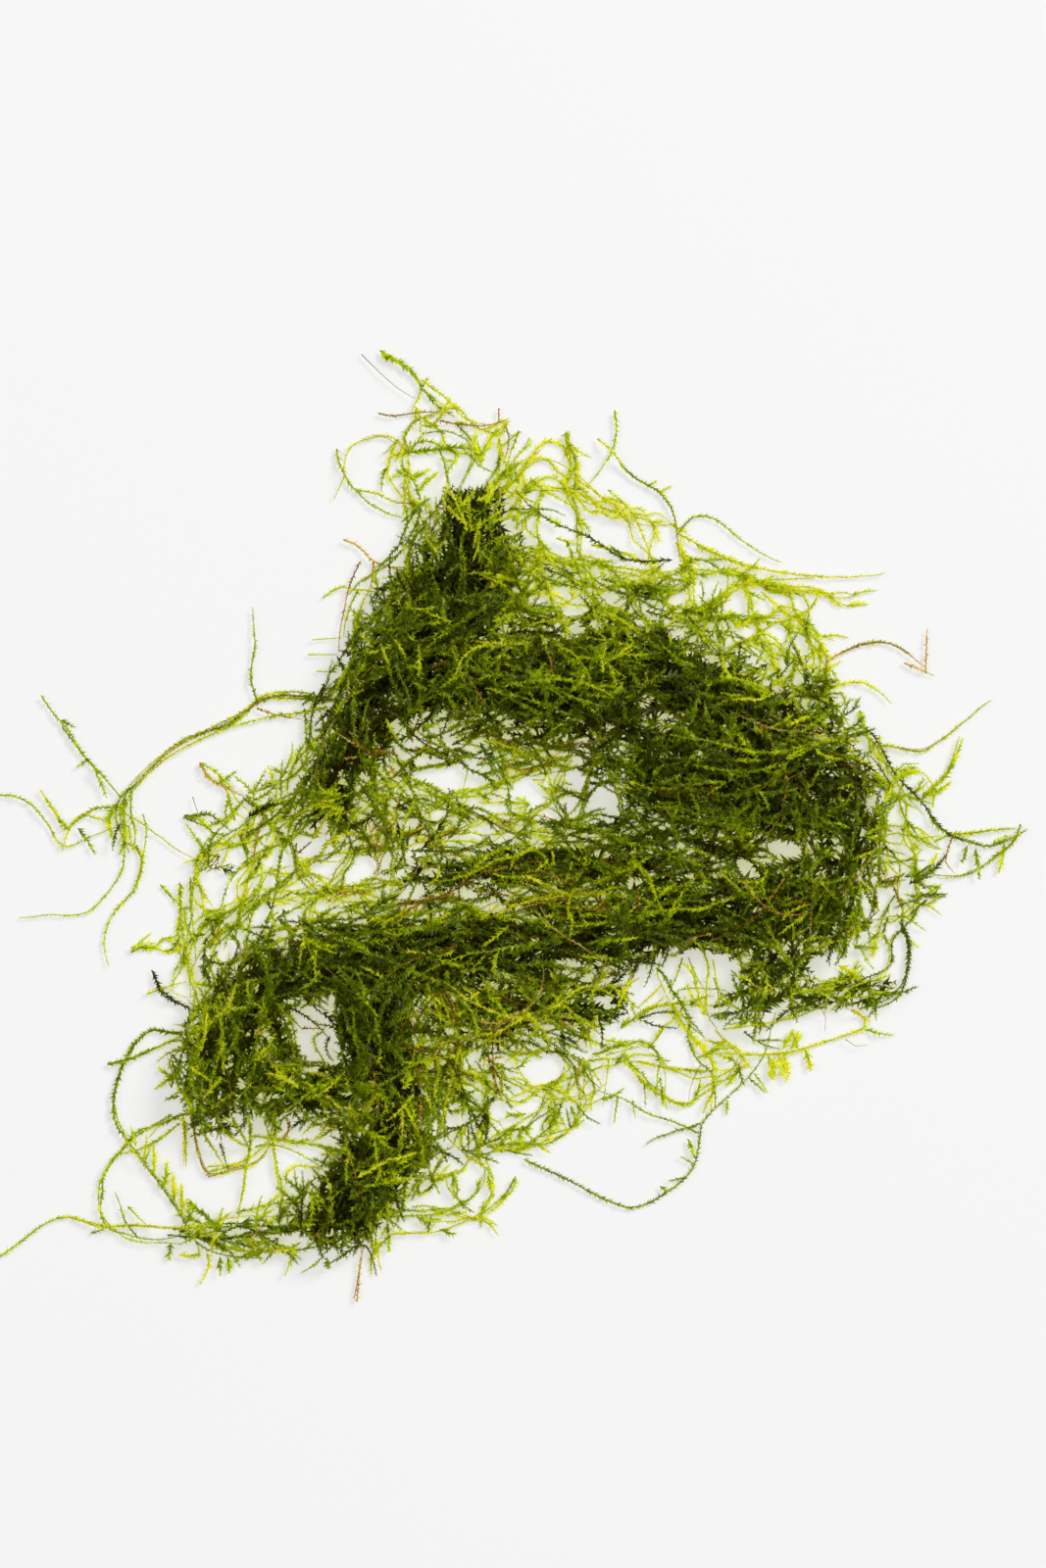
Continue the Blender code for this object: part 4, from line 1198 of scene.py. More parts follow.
# %% The south side: patches
plant("the south side, patches", patch, {
    "west_lobe": [
        ("leafy", 0.05, 60, 0.8, 4.0,
         "178,1110 200,1040 240,1000 280,1000 240,1060 225,1110 200,1140"),
        ("matted", 0.0, 0, 1.8, 3.0, "190,1120 225,1115 250,1130 250,1155 220,1162 190,1150"),
        ("matted", 0.03, 60, 1.7, 5.0, "265,1010 284,1022 294,1048 306,1070 312,1092 280,1092"),
        ("matted", 0.02, 80, 1.9, 4.0, "172,1065 205,1040 222,1090 200,1140 172,1120"),
        ("old", 0.05, 65, 0.5, 3.0, "270,1030 296,1030 306,1075 314,1100 280,1095"),
    ],
    "ring_bar": [
        ("fringe", 0.0, -5, 0.3, 1.5, "220,1140 350,1135 350,1160 330,1180 240,1165"),
        ("leafy", 0.03, 0, 0.9, 4.0,
         "265,1070 290,1060 312,1084 345,1088 400,1090 400,1140 290,1130"),
    ],
    "column": [
        ("web", -0.05, 70, 2.6, 3.0,
         "405,1000 475,1015 520,1065 520,1112 490,1185 425,1150 412,1090"),
        ("matted", -0.04, 75, 1.6, 5.0, "326,1000 375,1005 385,1092 350,1098 345,1050 326,1030"),
        ("old", 0.04, 75, 0.8, 3.0, "330,1000 375,1000 385,1085 352,1092 347,1050 330,1025"),
        ("matted", 0.02, 60, 1.2, 4.0, "405,1140 440,1145 470,1205 430,1210 410,1180"),
    ],
    "tail": [
        ("leafy", 0.06, 60, 0.8, 4.0, "400,1100 450,1100 455,1180 420,1220 395,1190"),
        ("leafy", 0.05, -30, 0.6, 4.0, "330,1140 400,1138 405,1210 355,1205 345,1178"),
    ],
    "tail_runner": [
        ("fringe", -0.1, 0, 0.6, 2.0, "185,1235 290,1232 300,1270 190,1280"),
        ("leafy", 0.0, 10, 1.2, 3.0, "280,1195 325,1190 325,1255 285,1250"),
        ("matted", -0.1, 80, 1.0, 3.0, "297,1215 320,1210 320,1262 300,1265"),
    ],
    "tail_fringe": [
        ("fringe", -0.03, 0, 0.1, 2.0, "400,1190 500,1185 512,1235 450,1265 395,1275 380,1240"),
    ],
})

# %% The south side: shoots
plant("the south side, shoots", shoot, {
    "hanging_loop_shoot": [
        ("slender", -0.1, "198,1140 203,1174 213,1197 236,1195 260,1187 274,1168 270,1138", []),
    ],
    "hanging_side_shoot": [
        ("slender", -0.1, "283,1130 280,1172 286,1210 296,1250", []),
    ],
    "hanging_middle_shoot": [
        ("slender", -0.08, "256,1135 256,1165 252,1190,2.6 247,1222 243,1248", []),
    ],
    "tail_drip_shoot": [
        ("thread", 0, "364,1325 366,1305 368,1286 366,1262", []),
    ],
})

# %% The south side: strands
plant("the south side, strands", strand, {
    "west_lobe": [
        ("bright", 0.0, "295,1033 303,1044 309,1050"),
        ("matted", 0.0, "288,1030 295,1048 299,1066 306,1084 318,1098"),
        ("leafy", 0.0, "286,1022 297,1040 301,1058 305,1074 310,1092"),
        ("dark", 0.0, "278,1045 290,1070 298,1088 308,1098"),
        ("lush", -0.05, "180,1098 170,1103 160,1110"),
        ("lush", -0.05, "180,1101 172,1097 164,1091"),
        ("leafy", 0.1, "184,1118 178,1119 171,1121"),
        ("bright", 0.1, "187,1135 188,1150 189,1168 188,1186"),
        ("amber", -0.02, "196,1138 199,1158 204,1178 211,1193"),
        ("bright", 0.05, "205,1138 212,1160 223,1180 233,1196"),
        ("slender", 0.0, "213,1195 240,1188 262,1176 276,1160 280,1140"),
        ("slender", 0.05, "240,1138 250,1158 255,1176 248,1190"),
        ("bright", 0.1, "225,1138 238,1158 258,1172"),
        ("amber", 0.0, "294,1138 295,1152 287,1163"),
    ],
    "column": [
        ("dark", 0.0, "294,1023 300,1028 307,1033 317,1040 325,1047 329,1050 333,1056"),
        ("bright", 0.0, "307,1028 317,1022 327,1017"),
        ("brown", 0.0, "309,1049 318,1049 327,1049"),
        ("slender", -0.05,
         "331,1052 326,1054 321,1057 320,1061 321,1067 325,1073 329,1079 333,1086"),
        ("dark", 0.0, "337,1057 333,1063 333,1070 335,1077 339,1081"),
    ],
    "tail_runner": [
        ("lush", -0.05, "175,1268 174,1274 173,1282"),
        ("leafy", 0.1, "183,1280 202,1280 204,1271"),
        ("leafy", 0.1, "212,1278 214,1291 205,1309"),
        ("lush", -0.05, "225,1282 225,1290 225,1298"),
        ("lush", -0.05, "233,1282 234,1289 234,1296"),
        ("leafy", 0.1, "299,1280 296,1290 291,1301"),
        ("leafy", 0.1, "330,1280 318,1292 308,1298"),
        ("lush", -0.05, "335,1280 335,1286 335,1293"),
        ("leafy", 0.1, "241,1237 273,1229 304,1221"),
    ],
    "tail_fringe": [
        ("slender", 0.0,
         "495,1180 503,1205 500,1223 493,1236 476,1245 454,1254 433,1258 400,1258"),
        ("slender", 0.05, "526,1200 521,1210 513,1221 491,1239"),
        ("slender", -0.05, "400,1241 439,1239 456,1235 474,1227 487,1215 495,1202 493,1186"),
        ("wiry", 0.1, "420,1231 437,1230 467,1237 495,1246 507,1249"),
        ("slender", 0.0, "400,1199 443,1199 461,1197 474,1191 478,1182"),
        ("wiry", 0.1, "454,1199 459,1215 475,1227"),
        ("slender", -0.1, "440,1202 444,1209 448,1216"),
        ("dark", 0.0, "372,1268 380,1282 384,1300"),
        ("lush", -0.1, "384,1262 384,1269 383,1277"),
        ("lush", -0.1, "396,1260 397,1267 397,1275"),
        ("lush", -0.1, "440,1240 438,1247 437,1256"),
    ],
    "hanging_loop_shoot": [
        ("slender", 0.0, "189,1143 190,1165 190,1190"),
        ("brown", 0.0, "199,1156 203,1176 211,1198 221,1198 239,1191 260,1186 271,1176 276,1163"),
        ("wiry", 0.1, "212,1190 235,1188 255,1188 270,1180 275,1168"),
        ("dark", 0.1, "226,1165 229,1178 232,1191"),
    ],
    "hanging_side_shoot": [
        ("slender", 0.0, "283,1141 280,1174 286,1213 295,1243"),
        ("brown", 0.0, "297,1143 293,1159 284,1165"),
        ("wiry", 0.1, "260,1170 271,1167 286,1169 304,1176 332,1192"),
        ("slender", 0.0, "292,1208 293,1195 299,1189 327,1191"),
    ],
    "hanging_middle_shoot": [
        ("slender", 0.0, "258,1143 256,1165 252,1187 247,1224 241,1237"),
    ],
    "tail_drip_shoot": [
        ("amber", 0.0, "364,1328 366,1305 368,1283 372,1270"),
    ],
})

# %% [markdown]
# ### The southeast side
#
# The last mass trails away to the lower right, with a mat of grown stems, a wing, and a
# long shoot that comes back in a wide loop.

# %% The southeast side: nets
plant("the southeast side, nets", net, {
    "south_fringe": [
        ("slender", -0.06, 2, [
            (1.2, "478,1086 500,1093 522,1104 546,1114 576,1120 602,1116 618,1108"),
            (1.1, "470,1168 502,1160 524,1150 546,1136 570,1122"),
            (1, "496,1174 520,1176 542,1170 566,1158 586,1148 600,1130 598,1112"),
            (1, "530,1148 531,1172"),
            (1.2, "566,1068 586,1082 600,1098 612,1112"),
            (1, "561,1128 562,1158"),
            (1, "518,1050 540,1062 566,1068"),
        ]),
    ],
    "southeast_lace": [
        ("slender", -0.04, 1, [
            (1, "604,1082 640,1080 670,1086 704,1091 736,1091 760,1088"),
            (0.9, "630,1078 650,1100 672,1116 698,1127 714,1119 730,1108 744,1098"),
            (1.2, "676,985 690,1030 708,1060 722,1082 728,1100 722,1128"),
            (0.9, "604,1066 650,1066 668,1072 677,1088 679,1104 677,1120"),
            (0.9, "704,960 712,992 730,1022 738,1046"),
            (0.9, "630,1042 660,1030 696,1024 732,1018"),
            (1, "712,1072 740,1074 764,1076"),
        ]),
    ],
})

# %% The southeast side: patches
plant("the southeast side, patches", patch, {
    "south_mat": [
        ("web", 0.1, -10, 0.9, 3.0,
         "440,1000 560,985 660,985 650,1040 620,1075 560,1070 500,1085 440,1070"),
        ("leafy", 0.05, 0, 1.0, 2.5, "490,1060 540,1050 545,1090 500,1100"),
    ],
    "south_fringe": [
        ("fringe", -0.05, 10, 0.35, 2.0,
         "440,1070 500,1085 560,1095 605,1090 606,1125 560,1160 500,1180 440,1185"),
        ("web", 0.0, 80, 0.8, 3.0, "580,1070 605,1070 605,1115 585,1110"),
    ],
    "southeast_mass": [
        ("fringe", -0.1, -20, 0.4, 2.0, "850,960 890,960 900,990 860,1005 820,1000"),
    ],
    "southeast_lace": [
        ("fringe", -0.03, -35, 0.08, 2.0,
         "620,1000 680,985 740,1010 760,1040 800,1050 795,1090 745,1125 690,1125 620,1110 "
         "600,1070"),
        ("fringe", -0.04, 60, 0.6, 3.0, "715,1060 765,1075 760,1120 735,1105"),
    ],
})

# %% The southeast side: shoots
plant("the southeast side, shoots", shoot, {
    "fern_shoot": [
        ("bright", 0.07, "866,1030 882,1040 880,1050 860,1057 830,1067 800,1074 772,1076", [
            "814,1071 808,1054",
            "820,1070 826,1087",
            "798,1074 802,1098",
            "784,1076 790,1097",
            "882,1049 908,1058",
        ]),
    ],
    "long_loop_shoot": [
        ("slender", -0.06,
         "535,1182 560,1194 590,1210 622,1225 646,1231 672,1222 698,1203 709,1184 713,1160 "
         "717,1144 740,1122 764,1097 779,1073,3 790,1034", [
            "709,1182 701,1162",
            "707,1188 695,1180",
            "700,1200 682,1204",
            "764,1099 780,1114",
            "742,1122 741,1136",
            "715,1146 684,1155 659,1168",
            "713,1156 682,1143 656,1133 632,1119 610,1113",
        ]),
    ],
})

# %% The southeast side: strands
plant("the southeast side, strands", strand, {
    "south_fringe": [
        ("leafy", 0.05, "493,1091 517,1102 539,1113 560,1121 595,1117"),
        ("leafy", 0.05, "500,1161 521,1150 539,1139 565,1124"),
        ("lush", -0.1, "560,1130 561,1144 560,1160"),
        ("lush", -0.05, "530,1152 531,1163 530,1175"),
        ("lush", -0.1, "582,1128 586,1138 589,1149"),
        ("wiry", 0.1, "500,1140 508,1143 516,1155"),
        ("leafy", 0.1, "502,1173 539,1171 556,1163 571,1160 584,1150 599,1130"),
        ("dark", 0.0, "556,1072 573,1074 591,1080 599,1098 610,1108"),
        ("dark", 0.05, "566,1070 582,1082 590,1100"),
        ("leafy", 0.1, "557,1108 566,1112 575,1116"),
        ("leafy", 0.1, "528,1065 526,1085 538,1104"),
    ],
    "southeast_wing": [
        ("leafy", 0.1, "876,965 884,980 890,988"),
        ("lush", 0.0, "855,985 868,992 880,1000"),
    ],
    "southeast_lace": [
        ("slender", 0.0,
         "650,1097 661,1109 675,1118 688,1125 700,1127 713,1118 727,1109 742,1099 753,1078"),
        ("slender", 0.0, "650,1082 669,1087 688,1091 732,1092 762,1089"),
        ("lush", -0.1, "686,1023 694,1042 707,1059 719,1072 726,1084 728,1097 725,1130"),
        ("thread", 0.0, "715,1085 705,1105 702,1122"),
        ("wiry", 0.1, "650,1065 661,1066 671,1074 677,1088 679,1103 677,1122"),
        ("wiry", 0.1, "673,981 670,991 677,1009 691,1040"),
        ("wiry", 0.1, "702,977 709,994 719,1011"),
        ("wiry", 0.1, "727,979 732,1011 734,1042"),
        ("slender", 0.0, "696,977 691,994 684,1009"),
        ("wiry", 0.1, "675,1005 665,1015 650,1028"),
        ("slender", 0.0, "650,1034 661,1028 696,1022 727,1016"),
        ("wiry", 0.0, "686,1020 692,1010 712,1008 740,1010"),
        ("dark", 0.0, "650,1040 665,1034 681,1032 694,1035 707,1044 717,1057"),
        ("dark", 0.05, "656,1041 667,1046 690,1049"),
        ("slender", 0.0, "736,1049 772,1044 795,1041 816,1036 841,1023"),
        ("slender", 0.0, "597,1083 621,1080 660,1085 680,1089 714,1091"),
        ("wiry", 0.1, "617,1076 634,1072 654,1067 665,1068 673,1080"),
        ("slender", 0.0, "636,1082 649,1095 665,1111 682,1121 699,1127"),
        ("wiry", 0.15, "621,1080 619,1098 615,1128"),
        ("wiry", 0.15, "630,1121 628,1133 627,1145"),
    ],
    "fern_shoot": [
        ("lush", 0.09, "798,1070 803,1062 808,1052"),
        ("lush", 0.09, "806,1070 812,1063 814,1055"),
        ("lush", 0.09, "784,1080 786,1089 788,1099"),
        ("lush", 0.09, "797,1078 800,1090 802,1102"),
        ("lush", 0.09, "822,1072 824,1080 826,1090"),
        ("lush", 0.09, "794,1076 795,1086 797,1097"),
        ("lush", 0.09, "790,1078 789,1088 785,1096"),
        ("thread", 0.1, "862,1060 872,1067 884,1066"),
        ("thread", 0.15, "832,1022 842,1038 841,1052"),
        ("bright", 0.06, "822,1069 807,1073 792,1075 774,1076 757,1075 720,1074"),
    ],
    "long_loop_shoot": [
        ("slender", 0.0, "673,1210 677,1212 681,1215"),
        ("slender", 0.0, "769,1095 776,1104 782,1114"),
        ("lush", -0.05, "702,1162 705,1169 707,1176"),
        ("wiry", 0.1, "630,1118 628,1132 626,1146"),
        ("wiry", 0.1, "645,1122 646,1131 648,1140"),
        ("wiry", 0.1, "657,1105 658,1116 658,1128"),
    ],
})

# %% [markdown]
# ## A pair of leaves
#
# A moss leaf is a pointed blade about a millimetre long that grows from the side of its stem
# and leans forward.  Hundreds of thousands of them are needed, so they come in pairs, and a
# pair is as simple as a closed solid can be: five corners and six triangles, with a ridge
# and a keel along the stem and a tip on either side.  Two numbers on each corner, how far
# along the blade it is and on which side, are used for the colour.

# %% The pair of leaves
PAIR_CORNERS = {
    "heel": ((0.0, 0.0, 0.0), 0.30, 0.0),
    "ridge": ((0.50, 0.0, 0.12), 0.55, 0.0),
    "keel": ((0.44, 0.0, -0.06), 0.45, 0.0),
    "left tip": ((0.86, 0.50, 0.05), 1.0, 1.0),
    "right tip": ((0.70, -0.47, 0.0), 0.95, -1.0),
}
PAIR_FACES = ((0, 1, 3), (0, 3, 2), (1, 2, 3), (0, 4, 1), (0, 2, 4), (1, 4, 2))


def leaf_pair():
    """Two leaves, one unit long, on either side of the X axis."""
    corners = [place for place, along, side in PAIR_CORNERS.values()]
    mesh = bpy.data.meshes.new("leaf pair")
    mesh.from_pydata(corners, [], PAIR_FACES)
    for label, column in (("along", 1), ("side", 2)):
        layer = mesh.attributes.new(label, "FLOAT", "POINT")
        layer.data.foreach_set("value", [corner[column] for corner in PAIR_CORNERS.values()])
    pair = bpy.data.objects.new("leaf pair", mesh)
    bpy.context.scene.collection.objects.link(pair)
    return pair


pair = leaf_pair()
print("leaf pair:", len(pair.data.polygons), "triangles")

# %% [markdown]
# ## Dressing the lines
#
# One node tree turns lines into moss.  Each line becomes a curve.  A copy of it is swept
# with a three-sided section for the stem.  Another copy is cut into points, a pair of leaves
# is set on every point and rolled a little at random, and every other pair is upside down so
# that the longer leaf changes sides.  They shrink towards the tip of the shoot.  The tree
# then stores the tone of the shoot and the place along the leaf as a UV map, which the
# materials read for their colour.  A small helper class keeps the tree's code short.

# %% A helper for node trees
class Tree:
    """Adds nodes to a node tree and links them by name."""

    def __init__(self, tree):
        self.tree = tree

    def add(self, kind, inputs=None, **settings):
        """Add a node; inputs are values or the output sockets of other nodes."""
        node = self.tree.nodes.new(kind)
        for key, value in settings.items():
            setattr(node, key, value)
        for key, value in (inputs or {}).items():
            socket = node.inputs[key]
            if isinstance(value, bpy.types.NodeSocket):
                self.tree.links.new(value, socket)
            else:
                socket.default_value = value
        return node

    def math(self, operation, first, second=0.0, third=0.0):
        """Add a Math node and return its result."""
        inputs = {0: first, 1: second, 2: third}
        return self.add("ShaderNodeMath", inputs, operation=operation).outputs[0]

    def attribute(self, name):
        """The value of a named number on the geometry."""
        node = self.add("GeometryNodeInputNamedAttribute", {"Name": name}, data_type="FLOAT")
        return node.outputs["Attribute"]

    def random(self, low, high, seed):
        """A random number for each element."""
        inputs = {2: low, 3: high, "Seed": seed}
        return self.add("FunctionNodeRandomValue", inputs, data_type="FLOAT").outputs[1]

    def store(self, geometry, name, value, data_type="FLOAT", domain="POINT"):
        """Store a value on the geometry under a name."""
        node = self.add(
            "GeometryNodeStoreNamedAttribute",
            {"Geometry": geometry, "Name": name, "Value": value},
            data_type=data_type,
            domain=domain,
        )
        return node.outputs["Geometry"]

    def resample(self, curves, length):
        """Cut curves into pieces of a length."""
        inputs = {"Curve": curves, "Length": length}
        return self.add("GeometryNodeResampleCurve", inputs, mode="LENGTH").outputs[0]

    def paint(self, geometry, material):
        """Give the geometry a material."""
        inputs = {"Geometry": geometry, "Material": material}
        return self.add("GeometryNodeSetMaterial", inputs).outputs[0]


# %% The stems and leaves of the node tree
STEM_BAND = (0.04, 0.22)
STEM_SEGMENT = 1.9 * MM
STEM_SIDES = 3
STEM_TAPER = 0.5
LEAF_YAW = 0.28
LEAF_SIZES = (0.75, 1.2)
YOUNG_SHRINK = 0.55
YOUNG_ONSET = 3.0
YAW_SEED, SIZE_SEED, TONE_SEED = 7, 11, 5


def add_stems(build, curves, material):
    """Sweep the lines with a tapering three-sided section, and keep what the colour needs."""
    profile = build.add(
        "GeometryNodeCurvePrimitiveCircle", {"Resolution": STEM_SIDES, "Radius": 1.0}
    )
    index = build.add("GeometryNodeInputIndex").outputs[0]
    ring = build.store(profile.outputs[0], "side", build.math("SUBTRACT", index, 1.0))
    factor = build.add("GeometryNodeSplineParameter").outputs["Factor"]
    low, high = STEM_BAND
    band = build.math("MULTIPLY_ADD", factor, high - low, low)
    marked = build.store(build.resample(curves, STEM_SEGMENT), "along", band)
    narrowing = build.math("MULTIPLY_ADD", factor, -STEM_TAPER, 1.0)
    taper = build.math("MULTIPLY", build.attribute("thickness"), narrowing)
    swept = build.add(
        "GeometryNodeCurveToMesh",
        {"Curve": marked, "Profile Curve": ring, "Scale": taper, "Fill Caps": True},
    )
    return build.paint(swept.outputs[0], material)


def leaf_rotation(build, half_roll, seed):
    """Leaves point along the stem; every other pair is turned over, and all are jostled."""
    index = build.add("GeometryNodeInputIndex").outputs[0]
    tangent = build.add("GeometryNodeInputTangent").outputs[0]
    x, y, z = build.add("ShaderNodeSeparateXYZ", {0: tangent}).outputs
    flip = build.math("MULTIPLY", build.math("MODULO", index, 2.0), math.pi)
    jostle = build.math("MULTIPLY", build.random(-1.0, 1.0, seed), half_roll)
    roll = build.math("ADD", flip, jostle)
    pitch = build.math("MULTIPLY", build.math("ARCSINE", z), -1.0)
    yaw = build.math("ARCTAN2", y, x)
    turned = build.math("ADD", yaw, build.random(-LEAF_YAW, LEAF_YAW, YAW_SEED))
    return build.add("ShaderNodeCombineXYZ", {0: roll, 1: pitch, 2: turned}).outputs[0]


def leaf_size(build):
    """Length and breadth of the leaves, which shrink towards the tip of the shoot."""
    factor = build.add("GeometryNodeSplineParameter").outputs["Factor"]
    young = build.math("MULTIPLY", build.math("POWER", factor, YOUNG_ONSET), -YOUNG_SHRINK)
    length = build.math("MULTIPLY", build.attribute("leaf"), build.math("ADD", young, 1.0))
    length = build.math("MULTIPLY", length, build.random(*LEAF_SIZES, SIZE_SEED))
    broad = build.math("MULTIPLY", length, build.attribute("breadth"))
    return build.add("ShaderNodeCombineXYZ", {0: length, 1: broad, 2: length}).outputs[0]


def add_leaves(build, curves, given):
    """Set a pair of leaves on every point of the lines, and turn the copies into mesh."""
    spaced = build.resample(curves, build.attribute("spacing"))
    jitter = build.random(-1.0, 1.0, TONE_SEED)
    tone = build.math("MULTIPLY_ADD", jitter, given["Tone speckle"], build.attribute("tone"))
    shape = build.add("GeometryNodeObjectInfo", {"Object": given["Leaves"]}).outputs["Geometry"]
    placed = build.add("GeometryNodeInstanceOnPoints", {
        "Points": build.store(spaced, "tone", tone),
        "Instance": shape,
        "Rotation": leaf_rotation(build, given["Leaf roll"], given["Seed"]),
        "Scale": leaf_size(build),
    })
    leaves = build.add("GeometryNodeRealizeInstances", {0: placed.outputs[0]}).outputs[0]
    return build.paint(leaves, given["Leaf finish"])


# %% The node tree
UV_SPREAD = 0.004
SOCKETS = (
    ("Lines", "NodeSocketGeometry"),
    ("Leaves", "NodeSocketObject"),
    ("Leaf roll", "NodeSocketFloat"),
    ("Tone speckle", "NodeSocketFloat"),
    ("Seed", "NodeSocketInt"),
    ("Leaf finish", "NodeSocketMaterial"),
    ("Stem finish", "NodeSocketMaterial"),
)


def moss_tree():
    """Build the tree that dresses lines with a stem and leaves."""
    group = bpy.data.node_groups.new("moss stems and leaves", "GeometryNodeTree")
    group.is_modifier = True
    for label, kind in SOCKETS:
        group.interface.new_socket(label, in_out="INPUT", socket_type=kind)
    group.interface.new_socket("Moss", in_out="OUTPUT", socket_type="NodeSocketGeometry")
    build = Tree(group)
    given = build.add("NodeGroupInput").outputs
    curves = build.add("GeometryNodeMeshToCurve", {"Mesh": given["Lines"]}).outputs[0]
    joined = build.add("GeometryNodeJoinGeometry")
    group.links.new(add_stems(build, curves, given["Stem finish"]), joined.inputs[0])
    group.links.new(add_leaves(build, curves, given), joined.inputs[0])
    side = build.attribute("side")
    u = build.math("MULTIPLY_ADD", side, UV_SPREAD, build.attribute("tone"))
    place = build.add("ShaderNodeCombineXYZ", {0: u, 1: build.attribute("along")}).outputs[0]
    dressed = joined.outputs[0]
    for uv_name in ("Tone", "OFBake"):
        dressed = build.store(dressed, uv_name, place, "FLOAT2", "CORNER")
    build.add("NodeGroupOutput", {0: dressed})
    return group


moss = moss_tree()
print("node tree:", len(moss.nodes), "nodes")

# %% [markdown]
# ## Finishes
#
# Wet moss is dark, glossy and slightly clear.  Old leaves in the ropes are nearly black,
# partly their own colour and partly painted shade for the deep gaps, grown leaves deep green,
# young leaves at the rim yellow-green because light passes through them, and dead ones brown
# to straw.  One number, the tone, runs through all of these, and in the ropes it also carries
# painted shade.  The leaf and the stem have a material each, and both look the tone up in two
# colour ramps, one for light that falls on them and one for light that comes through.  A leaf
# is paler at its base than at its tip.

# %% The colours, by tone
FACING_COLOURS = (
    (0.00, (0.030, 0.024, 0.002)),
    (0.13, (0.078, 0.092, 0.003)),
    (0.28, (0.170, 0.240, 0.005)),
    (0.40, (0.370, 0.490, 0.010)),
    (0.51, (0.760, 0.860, 0.010)),
    (0.61, (0.970, 0.960, 0.030)),
    (0.70, (1.000, 0.980, 0.140)),
    (0.715, (0.100, 0.055, 0.004)),
    (0.83, (0.360, 0.220, 0.015)),
    (0.91, (0.800, 0.520, 0.050)),
    (1.00, (1.000, 0.820, 0.300)),
)
THROUGH_COLOURS = (
    (0.00, (0.200, 0.160, 0.010)),
    (0.13, (0.370, 0.400, 0.010)),
    (0.28, (0.560, 0.660, 0.012)),
    (0.40, (0.740, 0.820, 0.018)),
    (0.51, (0.900, 0.940, 0.030)),
    (0.61, (0.970, 0.960, 0.080)),
    (0.70, (0.990, 0.970, 0.200)),
    (0.715, (0.300, 0.190, 0.010)),
    (0.83, (0.620, 0.440, 0.040)),
    (0.91, (0.880, 0.680, 0.120)),
    (1.00, (0.980, 0.880, 0.450)),
)
print("tones from", FACING_COLOURS[0][0], "to", FACING_COLOURS[-1][0])

# %% The two materials
WET_GLOSS = 0.20
LEAF_RANGE = (0.3, 1.0)
TIP_SHADE = 0.9


def tone_ramp(build, tone, shade, colours):
    """A colour looked up by tone, and made a little darker towards the tip of a leaf."""
    ramp = build.add("ShaderNodeValToRGB", {0: tone})
    for place, colour in colours[1:-1]:
        ramp.color_ramp.elements.new(place).color = (*colour, 1.0)
    ramp.color_ramp.elements[0].color = (*colours[0][1], 1.0)
    ramp.color_ramp.elements[-1].color = (*colours[-1][1], 1.0)
    inputs = {0: ramp.outputs[0], "Scale": shade}
    return build.add("ShaderNodeVectorMath", inputs, operation="SCALE").outputs[0]


def finish(name, see_through, roughness, base_shade):
    """A wet, slightly clear finish whose colours are looked up by the tone of the shoot."""
    material = bpy.data.materials.new(name)
    material.use_nodes = True
    build = Tree(material.node_tree)
    shader = material.node_tree.nodes["Principled BSDF"]
    place = build.add("ShaderNodeUVMap", uv_map="Tone").outputs[0]
    tone, along, _ = build.add("ShaderNodeSeparateXYZ", {0: place}).outputs
    base, tip = LEAF_RANGE
    limits = {0: along, 1: base, 2: tip, 3: base_shade, 4: TIP_SHADE}
    shade = build.add("ShaderNodeMapRange", limits).outputs[0]
    facing = tone_ramp(build, tone, shade, FACING_COLOURS)
    through = tone_ramp(build, tone, shade, THROUGH_COLOURS)
    material.node_tree.links.new(facing, shader.inputs["Base Color"])
    shader.inputs["Roughness"].default_value = roughness
    shader.inputs["Specular IOR Level"].default_value = WET_GLOSS
    clear = build.add("ShaderNodeBsdfTranslucent", {"Color": through}).outputs[0]
    mixed = build.add("ShaderNodeMixShader", {0: see_through, 1: shader.outputs[0], 2: clear})
    output = material.node_tree.nodes["Material Output"]
    material.node_tree.links.new(mixed.outputs[0], output.inputs["Surface"])
    return material


leaf_finish = finish("wet moss leaf", see_through=0.75, roughness=0.25, base_shade=1.1)
stem_finish = finish("wet moss stem", see_through=0.65, roughness=0.30, base_shade=0.8)
print("finishes:", leaf_finish.name, "and", stem_finish.name)

# %% [markdown]
# ## From lines to pieces
#
# Each piece of the clump gets its lines as a mesh of bare edges, with the style of each
# line stored on its points.  The tree is hung on it as a modifier, the result is turned
# into a plain mesh, leaves that would pass below the table are pressed flat along it, and
# the piece takes the place of the plain solid of the same name.

# %% Lines as a mesh of edges
def line_mesh(name, lines):
    """One mesh of edges that holds all lines of a piece, in metres."""
    points = np.concatenate([line["points"] for line in lines]) * MM
    edges = []
    start = 0
    for line in lines:
        count = len(line["points"])
        edges += [(start + step, start + step + 1) for step in range(count - 1)]
        start += count
    mesh = bpy.data.meshes.new(name)
    mesh.from_pydata(points, edges, [])
    counts = [len(line["points"]) for line in lines]
    values = {"tone": np.concatenate([line["tone"] for line in lines])}
    for label, unit in (("leaf", MM), ("spacing", MM), ("thickness", MM), ("breadth", 1.0)):
        values[label] = np.repeat([line[label] * unit for line in lines], counts)
    for label, numbers in values.items():
        mesh.attributes.new(label, "FLOAT", "POINT").data.foreach_set("value", numbers)
    return mesh


# %% Dress every piece
LEAF_ROLL = math.radians(50)
TONE_SPECKLE = 0.11
PRESSED = 0.6 * MM


